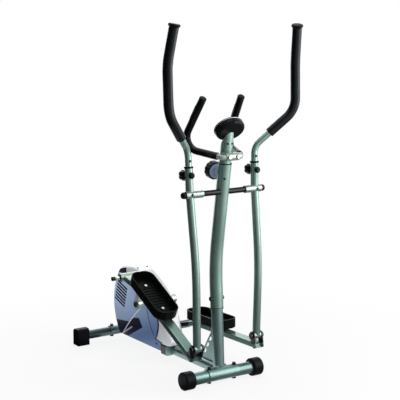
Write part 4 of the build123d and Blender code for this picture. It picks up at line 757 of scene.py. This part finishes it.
def bead(built, line, out, width_at, height):
    """Half-round strip along a line, its flat side down; out points away from what it lies on."""
    out = Vector(out)
    parts = BEAD_SIDES
    rows = []
    for i, spot in enumerate(line):
        run = (line[min(i + 1, len(line) - 1)] - line[max(i - 1, 0)]).normalized()
        across = run.cross(out)
        half = width_at(i / (len(line) - 1)) / 2
        row = []
        for k in range(parts + 1):
            turn = math.pi * k / parts
            rise = out * (height * math.sin(turn))
            row.append(built.verts.new(spot + across * (half * math.cos(turn)) + rise))
        rows.append(row)
    for a, b in zip(rows, rows[1:]):
        for k in range(parts + 1):
            other = (k + 1) % (parts + 1)
            built.faces.new((a[k], a[other], b[other], b[k]))
    built.faces.new(rows[0])
    built.faces.new(list(reversed(rows[-1])))


def hoop(built, points, radius, ripple=0.0, sides=10):
    """Round bead along a closed line, with the even ripples of a weld where asked."""
    count = len(points)
    centre = sum(points, Vector()) / count
    rings = []
    for i, spot in enumerate(points):
        run = (points[(i + 1) % count] - points[i - 1]).normalized()
        out = spot - centre
        out = (out - run * out.dot(run)).normalized()
        other = run.cross(out)
        thick = radius * (1 + ripple * math.sin(i * math.pi / 2))
        ring = []
        for k in range(sides):
            turn = 2 * math.pi * k / sides
            ring.append(built.verts.new(spot + (out * math.cos(turn) + other * math.sin(turn)) * thick))
        rings.append(ring)
    for i in range(count):
        a, b = rings[i], rings[(i + 1) % count]
        for k in range(sides):
            built.faces.new((a[k], a[(k + 1) % sides], b[(k + 1) % sides], b[k]))


def arc_points(start, mid, end, count):
    """Points along the circle through three points in X and Z, as pairs."""
    (ax, az), (bx, bz), (cx, cz) = start, mid, end
    d = 2 * (ax * (bz - cz) + bx * (cz - az) + cx * (az - bz))
    a2, b2, c2 = ax * ax + az * az, bx * bx + bz * bz, cx * cx + cz * cz
    ux = (a2 * (bz - cz) + b2 * (cz - az) + c2 * (az - bz)) / d
    uz = (a2 * (cx - bx) + b2 * (ax - cx) + c2 * (bx - ax)) / d
    radius = math.hypot(ax - ux, az - uz)
    first = math.atan2(az - uz, ax - ux)
    sweep = (math.atan2(cz - uz, cx - ux) - first + math.pi) % (2 * math.pi) - math.pi
    turns = [first + sweep * k / count for k in range(count + 1)]
    return [(ux + radius * math.cos(turn), uz + radius * math.sin(turn)) for turn in turns]


def seat(node, start, way):
    """Place on a solid where a straight look hits it: Z along the surface's own normal."""
    hit, spot, normal, _ = NODES[node].ray_cast(Vector(start), Vector(way).normalized())
    assert hit, f"nothing to sit on at {node}"
    return Matrix.Translation(spot) @ normal.to_track_quat("Z", "Y").to_matrix().to_4x4()


def socket_screw(built, place, head_r, height):
    """Button-head screw with a hexagon socket, its seat at the origin of a place."""
    sides = SCREW_SIDES
    rings = []
    for share, level in SCREW_OUTLINE + SCREW_SOCKET:
        ring = []
        for k in range(sides):
            turn = 2 * math.pi * k / sides
            reach = share * head_r
            if (share, level) in SCREW_SOCKET:
                reach /= math.cos(turn % (math.pi / 3) - math.pi / 6) * SOCKET_FIT
            spot = Vector((reach * math.cos(turn), reach * math.sin(turn), level * height))
            ring.append(built.verts.new(place @ spot))
        rings.append(ring)
    for a, b in zip(rings, rings[1:]):
        for k in range(sides):
            built.faces.new((a[k], a[(k + 1) % sides], b[(k + 1) % sides], b[k]))
    built.faces.new(list(reversed(rings[0])))
    built.faces.new(rings[-1])


# Trim, welds and small fasteners


def housing_trim():
    """White bead, black piping and dark louvre blades on both side panels."""
    for name, side in SIDES:
        out = Vector((0.0, side, 0.0))
        curve = arc_points((CRANK.x, CRANK.z), TRIM_MID, TRIM_FOOT, BEAD_POINTS)
        line = [Vector((x, side * (PANEL_Y - BEAD_SINK), z)) for x, z in curve[BEAD_SKIP:]]
        piece(f"panel_bead_{name}", lambda b: bead(b, line, out, lambda s: BEAD_W - BEAD_TAPER * s, BEAD_H),
              PEARL, "frame")

        edges = (arc_points((CRANK.x, CRANK.z), SEAM_MID, SEAM_FOOT, SEAM_POINTS)[SEAM_SKIP:],
                 arc_points(LEAF_TOP, LEAF_MID, LEAF_FOOT, LEAF_POINTS))

        def piping(built):
            for edge in edges:
                spots = [Vector((x, side * (PANEL_Y - PIPING_SINK), z)) for x, z in edge]
                bead(built, spots, out, lambda s: PIPING_W, PIPING_H)

        piece(f"panel_piping_{name}", piping, BLACK, "frame")

        def blades(built):
            for index in range(LOUVRES):
                centre = Vector((LOUVRE_LOW[0] + LOUVRE_STEP[0] * index, side * (SHELL_Y + BLADE_OUT),
                                 LOUVRE_LOW[1] + LOUVRE_STEP[1] * index))
                half = Vector((math.cos(LOUVRE_SLOPE), 0.0, math.sin(LOUVRE_SLOPE))) * (LOUVRE_L / 2)
                count = BLADE_HALF_POINTS
                spots = [centre + half * (k / count - 1) for k in range(2 * count + 1)]
                bead(built, spots, out, lambda s: BLADE_W, BLADE_H)

        piece(f"louvre_blades_{name}", blades, BLACK, "frame")


def tube_ring(at, way, radius, count=48):
    """Points of a circle round an axis in the middle plane."""
    turn = Vector(way).to_track_quat("Z", "Y").to_matrix()
    ring = []
    for k in range(count):
        angle = 2 * math.pi * k / count
        ring.append(Vector(at) + turn @ Vector((radius * math.cos(angle), radius * math.sin(angle), 0.0)))
    return ring


def seal_and_shade_rings():
    """Dark seal where the post sits on the frame, and a dark ring where the mast leaves the post that
    stands in for the shadow under the handlebar clamp, as painted shadow.
    """
    foot, bend, top = (Vector((x, 0, z)) for x, z in (POST_FOOT, POST_BEND, POST_TOP))
    lower = (bend - foot).normalized()
    upper = (top - bend).normalized()

    def rings(built):
        hoop(built, tube_ring(foot, lower, POST_R - FOOT_SEAL_SINK), FOOT_SEAL_R)
        # Painted shadow: a dark ring at the mast's joint stands in for the shadow under the handlebar clamp
        hoop(built, tube_ring(top, upper, POST_R - TOP_SHADE_RING_SINK), TOP_SHADE_RING_R)

    piece("post_seal_and_shade_ring", rings, BLACK, "frame")


def arm_welds():
    """Weld beads where each pivot sleeve enters its arm."""
    for name, _ in SIDES:
        pivot = PIVOT[name]
        start = (pivot.x + LOOK_FROM, pivot.y, pivot.z + WELD_LOOK_UP)
        front = seat(f"lower_arm_{name}", start, (-1, 0, 0)).translation.x
        shift = front - ARM_R - pivot.x

        def loops(built):
            for way in (-1, 1):
                points = []
                for k in range(WELD_POINTS):
                    turn = 2 * math.pi * k / WELD_POINTS
                    dx, dz = SLEEVE_R * math.cos(turn), SLEEVE_R * math.sin(turn)
                    reach = math.sqrt(max(0.0, ARM_R ** 2 - (dx - shift) ** 2))
                    points.append(Vector((pivot.x + dx, pivot.y + way * reach, pivot.z + dz)))
                hoop(built, points, WELD_R, WELD_RIPPLE)

        piece(f"pivot_weld_{name}", loops, SILVER, f"arm_{name}")


def fasteners():
    """Small screws of the arms, the post, the mast and the housing."""
    spots = {}
    for name, _ in SIDES:
        pivot = PIVOT[name]
        ahead = (pivot.x + LOOK_FROM, pivot.y, pivot.z)
        spots[f"arm_{name}"] = [(f"lower_arm_{name}", ahead, (-1, 0, 0))]
    spots["frame"] = [("upper_post", POST_SCREW, (-1, 0, 0))]
    spots["frame"] += [("console_mast", start, (-1, 0, 0)) for start in MAST_SCREWS]
    for name, side in SIDES:
        beside = (PANEL_SCREW[0], side * PANEL_SCREW[1], PANEL_SCREW[2])
        above = (SHELL_SCREW[0], side * SHELL_SCREW[1], SHELL_SCREW[2])
        spots["frame"].append((f"panel_{name}", beside, (0, -side, 0)))
        spots["frame"].append((f"shell_{name}", above, (0, 0, -1)))
    for body, seats in spots.items():
        def heads(built):
            for node, start, way in seats:
                socket_screw(built, seat(node, start, way), SCREW_R, SCREW_H)
        piece(f"screws_{body}", heads, DARK_STEEL, body)


def on_console(across, up, out):
    """Point of the console's own plane: across to the user's right, up, and out towards the user."""
    spot = Vector(CONSOLE_AT) + Vector(CONSOLE_UP) * up + Vector(CONSOLE_OUT) * out
    return spot + Vector((0.0, -across, 0.0))


def console_trim():
    """Bright bead round the console where its face plate meets its shell."""
    wide, tall = CONSOLE_HALF
    turns = [2 * math.pi * k / CONSOLE_POINTS for k in range(CONSOLE_POINTS)]
    ring = [on_console(wide * math.cos(turn), tall * math.sin(turn), CONSOLE_SEAM) for turn in turns]
    piece("console_trim", lambda b: hoop(b, ring, CONSOLE_BEAD_R), BRIGHT, "frame")


# Bars of a zero as shares of its width and height, and each row's foot, height, width and starts
ZERO = (
    ((0, 1), (1, 1)),
    ((1, 1), (1, 0.5)),
    ((1, 0.5), (1, 0)),
    ((0, 0), (1, 0)),
    ((0, 0), (0, 0.5)),
    ((0, 0.5), (0, 1)),
)
ROWS = (
    (0.017, 0.011, 0.0054, (-0.016, -0.002, 0.0075)),
    (0.002, 0.007, 0.0036, (0.004, 0.011, 0.018)),
)


def display():
    """Zeros of the display: raised bars on the window, in a large and a small row."""
    def bars(built):
        for up, tall, wide, starts in ROWS:
            for start in starts:
                for segment in ZERO:
                    a, b = (on_console(start + u * wide, up + v * tall, DISPLAY_OUT) for u, v in segment)
                    gap = (b - a).normalized() * DIGIT_GAP
                    bead(built, [a + gap, b - gap], CONSOLE_OUT, lambda s: DIGIT_W, DIGIT_H)

    piece("display_digits", bars, BLACK, "frame")


def dial_marks():
    """Pointer and rising scale bars on the tension knob."""
    out = Vector(DIAL_OUT)
    across = Vector((0.0, 1.0, 0.0))
    upright = out.cross(across)
    middle = Vector(DIAL_AT)

    def seated(reach, turn):
        way = across * math.cos(turn) + upright * math.sin(turn)
        start = middle + out * LOOK_FROM_DIAL + way * reach
        return seat("tension_knob", start, -out).translation

    def bars(built):
        for index in range(DIAL_BARS):
            turn = math.radians(DIAL_START - DIAL_SWEEP * index / (DIAL_BARS - 1))
            reach = DIAL_FACE_R - DIAL_BAR_INSET
            ends = [seated(reach - DIAL_BAR_L - DIAL_BAR_GROWTH * index, turn), seated(reach, turn)]
            bead(built, ends, out, lambda s: DIAL_BAR_W, DIAL_BAR_H)
        ends = [seated(DIAL_FACE_R + reach, math.pi / 2) for reach in POINTER_SPAN]
        bead(built, ends, out, lambda s: POINTER_W, POINTER_H)

    piece("dial_marks", bars, WHITE_METAL, "tension_dial")


# Studio lamps: name, place, aim, size in metres, watts, and whether gloss shows them
LAMPS = (
    ("key", (1.75, 1.95, 1.45), (0.2, 0.0, 0.85), (1.8, 2.3), 36.0, True),
    ("strip", (2.13, 1.29, 1.05), (0.35, 0.0, 0.9), (0.25, 2.2), 6.0, True),
    ("fill", (3.9, -2.9, 1.3), (0.0, 0.0, 0.45), (2.0, 2.0), 92.0, False),
    ("top", (-0.4, 0.2, 4.0), (0.0, 0.0, 0.4), (2.4, 2.4), 27.0, True),
    ("rim", (-2.4, -0.4, 1.3), (0.3, 0.0, 0.8), (0.9, 2.2), 8.0, True),
    ("back", (-3.2, 1.6, 2.0), (0.0, 0.0, 0.7), (1.8, 1.8), 23.0, True),
)
WORLD_TONE = (0.93, 0.96, 1.0, 1.0)
WORLD_GLOW = 0.34
WHITE = (1.0, 1.0, 1.0, 1.0)


def studio():
    """World, floor, screen, lamps and camera."""
    world = bpy.data.worlds.new("studio")
    bpy.context.scene.world = world
    world.use_nodes = True
    tree = world.node_tree
    tree.nodes.clear()
    out = tree.nodes.new("ShaderNodeOutputWorld")
    lit = tree.nodes.new("ShaderNodeBackground")
    lit.inputs["Color"].default_value = WORLD_TONE
    lit.inputs["Strength"].default_value = WORLD_GLOW
    seen = tree.nodes.new("ShaderNodeBackground")
    seen.inputs["Color"].default_value = WHITE
    mix = tree.nodes.new("ShaderNodeMixShader")
    tree.links.new(shown_rays(tree), mix.inputs[0])
    tree.links.new(lit.outputs[0], mix.inputs[1])
    tree.links.new(seen.outputs[0], mix.inputs[2])
    tree.links.new(mix.outputs[0], out.inputs["Surface"])
    floor_piece()
    screen()
    for values in LAMPS:
        lamp(*values)
    camera = bpy.data.cameras.new("photo_camera")
    camera.lens = LENS_MM
    camera.sensor_width = SENSOR_MM
    holder = bpy.data.objects.new("photo_camera", camera)
    bpy.context.scene.collection.objects.link(holder)
    holder.location = CAMERA_AT
    aim = Vector(CAMERA_TARGET) - Vector(CAMERA_AT)
    holder.rotation_euler = aim.to_track_quat("-Z", "Y").to_euler()
    bpy.context.scene.camera = holder
    bpy.context.scene.view_settings.view_transform = "Standard"


def shown_rays(tree):
    """1 for rays that show the background: camera, glossy and transmission rays."""
    path = tree.nodes.new("ShaderNodeLightPath")
    first = tree.nodes.new("ShaderNodeMath")
    first.operation = "MAXIMUM"
    tree.links.new(path.outputs["Is Camera Ray"], first.inputs[0])
    tree.links.new(path.outputs["Is Glossy Ray"], first.inputs[1])
    second = tree.nodes.new("ShaderNodeMath")
    second.operation = "MAXIMUM"
    tree.links.new(first.outputs[0], second.inputs[0])
    tree.links.new(path.outputs["Is Transmission Ray"], second.inputs[1])
    return second.outputs[0]


# Studio screen and floor: angles in degrees, glow at each, and the screen's section in metres
SCREEN_FROM = -165.0
SCREEN_TO = 130.0
WALL_TO = 5.0
SCREEN_STOPS = ((-165.0, 0.5), (-152.0, 0.02), (-68.0, 0.02), (-40.0, 0.12), (-8.0, 0.65), (5.0, 1.0))
SCREEN_PROFILE = ((0.36, 0.004), (1.7, 0.004), (1.8, 0.1), (1.8, 2.4))
SCREEN_PARTS = 59
SCREEN_FOOT = (0.01, 0.3)
SCREEN_FOOT_GLOW = 0.3
FLOOR_TONES = ((0.9, 0.9, 0.9), (0.93, 0.93, 0.93))
FLOOR_HALF = 14.0
FLOOR_DROP = 0.0005
FLOOR_FADE_FROM = 0.5
FLOOR_FADE_TO = 1.5
FLOOR_WHITE = 0.85


def screen():
    """Curved studio screen that shows only in gloss: dark on one side, pale towards the other."""
    g = Graph("studio_screen")
    x, y, z = g.axes()
    heading = g.math("DEGREES", g.math("ARCTAN2", y, x))
    ramp = g.tree.nodes.new("ShaderNodeValToRGB")
    g.feed(ramp.inputs[0], g.span(heading, SCREEN_FROM, SCREEN_TO))
    stops = ramp.color_ramp.elements
    while len(stops) < len(SCREEN_STOPS):
        stops.new(0.5)
    for stop, (angle, glow) in zip(stops, SCREEN_STOPS):
        stop.position = (angle - SCREEN_FROM) / (SCREEN_TO - SCREEN_FROM)
        stop.color = (glow, glow, glow, 1.0)
    glowing = g.tree.nodes.new("ShaderNodeEmission")
    g.feed(glowing.inputs[0], ramp.outputs[0])
    g.feed(glowing.inputs[1], g.span(z, *SCREEN_FOOT, SCREEN_FOOT_GLOW, 1.0))
    out = next(n for n in g.tree.nodes if n.type == "OUTPUT_MATERIAL")
    g.tree.links.new(glowing.outputs[0], out.inputs["Surface"])
    parts = SCREEN_PARTS
    wall_parts = round(parts * (WALL_TO - SCREEN_FROM) / (SCREEN_TO - SCREEN_FROM))
    corners = []
    for radius, level in SCREEN_PROFILE:
        for k in range(parts + 1):
            turn = math.radians(SCREEN_FROM + (SCREEN_TO - SCREEN_FROM) * k / parts)
            corners.append((radius * math.cos(turn), radius * math.sin(turn), level))
    faces = []
    for row in range(len(SCREEN_PROFILE) - 1):
        first = row * (parts + 1)
        count = wall_parts if row else parts
        for low in range(first, first + count):
            high = low + parts + 1
            faces.append((low, low + 1, high + 1, high))
    mesh = bpy.data.meshes.new("screen")
    mesh.from_pydata(corners, [], faces)
    mesh.materials.append(g.material)
    wall = bpy.data.objects.new("screen", mesh)
    bpy.context.scene.collection.objects.link(wall)
    for kind in ("camera", "diffuse", "transmission", "volume_scatter", "shadow"):
        setattr(wall, f"visible_{kind}", False)


def floor_piece():
    """Pale floor that keeps the shadow and runs into a white background."""
    g = Graph("pale_floor")
    g.set(Base_Color=g.mix(g.noise(0.7, 2.0), *FLOOR_TONES), Roughness=0.9)
    white = g.tree.nodes.new("ShaderNodeEmission")
    mix = g.tree.nodes.new("ShaderNodeMixShader")
    out = next(n for n in g.tree.nodes if n.type == "OUTPUT_MATERIAL")
    away = g.vector("DISTANCE", g.place, (0.0, 0.0, 0.0))
    share = g.span(away, FLOOR_FADE_FROM, FLOOR_FADE_TO, FLOOR_WHITE, 1.0)
    g.feed(mix.inputs[0], g.math("MULTIPLY", shown_rays(g.tree), share))
    g.tree.links.new(g.shader.outputs[0], mix.inputs[1])
    g.tree.links.new(white.outputs[0], mix.inputs[2])
    g.tree.links.new(mix.outputs[0], out.inputs["Surface"])
    mesh = bpy.data.meshes.new("floor")
    corners = [(x * FLOOR_HALF, y * FLOOR_HALF, 0) for x, y in ((-1, -1), (1, -1), (1, 1), (-1, 1))]
    mesh.from_pydata(corners, [], [(0, 1, 2, 3)])
    mesh.materials.append(g.material)
    floor = bpy.data.objects.new("floor", mesh)
    bpy.context.scene.collection.objects.link(floor)
    floor.location.z = -FLOOR_DROP


def lamp(name, spot, target, size, power, gloss):
    """Soft rectangular lamp, which may be kept out of glossy reflections."""
    light = bpy.data.lights.new(name, "AREA")
    light.shape = "RECTANGLE"
    light.size, light.size_y = size
    light.energy = power
    holder = bpy.data.objects.new(name, light)
    bpy.context.scene.collection.objects.link(holder)
    holder.location = spot
    holder.visible_camera = False
    holder.visible_glossy = gloss
    holder.rotation_euler = (Vector(target) - Vector(spot)).to_track_quat("-Z", "Y").to_euler()


dress()
grips()
housing_trim()
seal_and_shade_rings()
arm_welds()
fasteners()
console_trim()
display()
dial_marks()
studio()
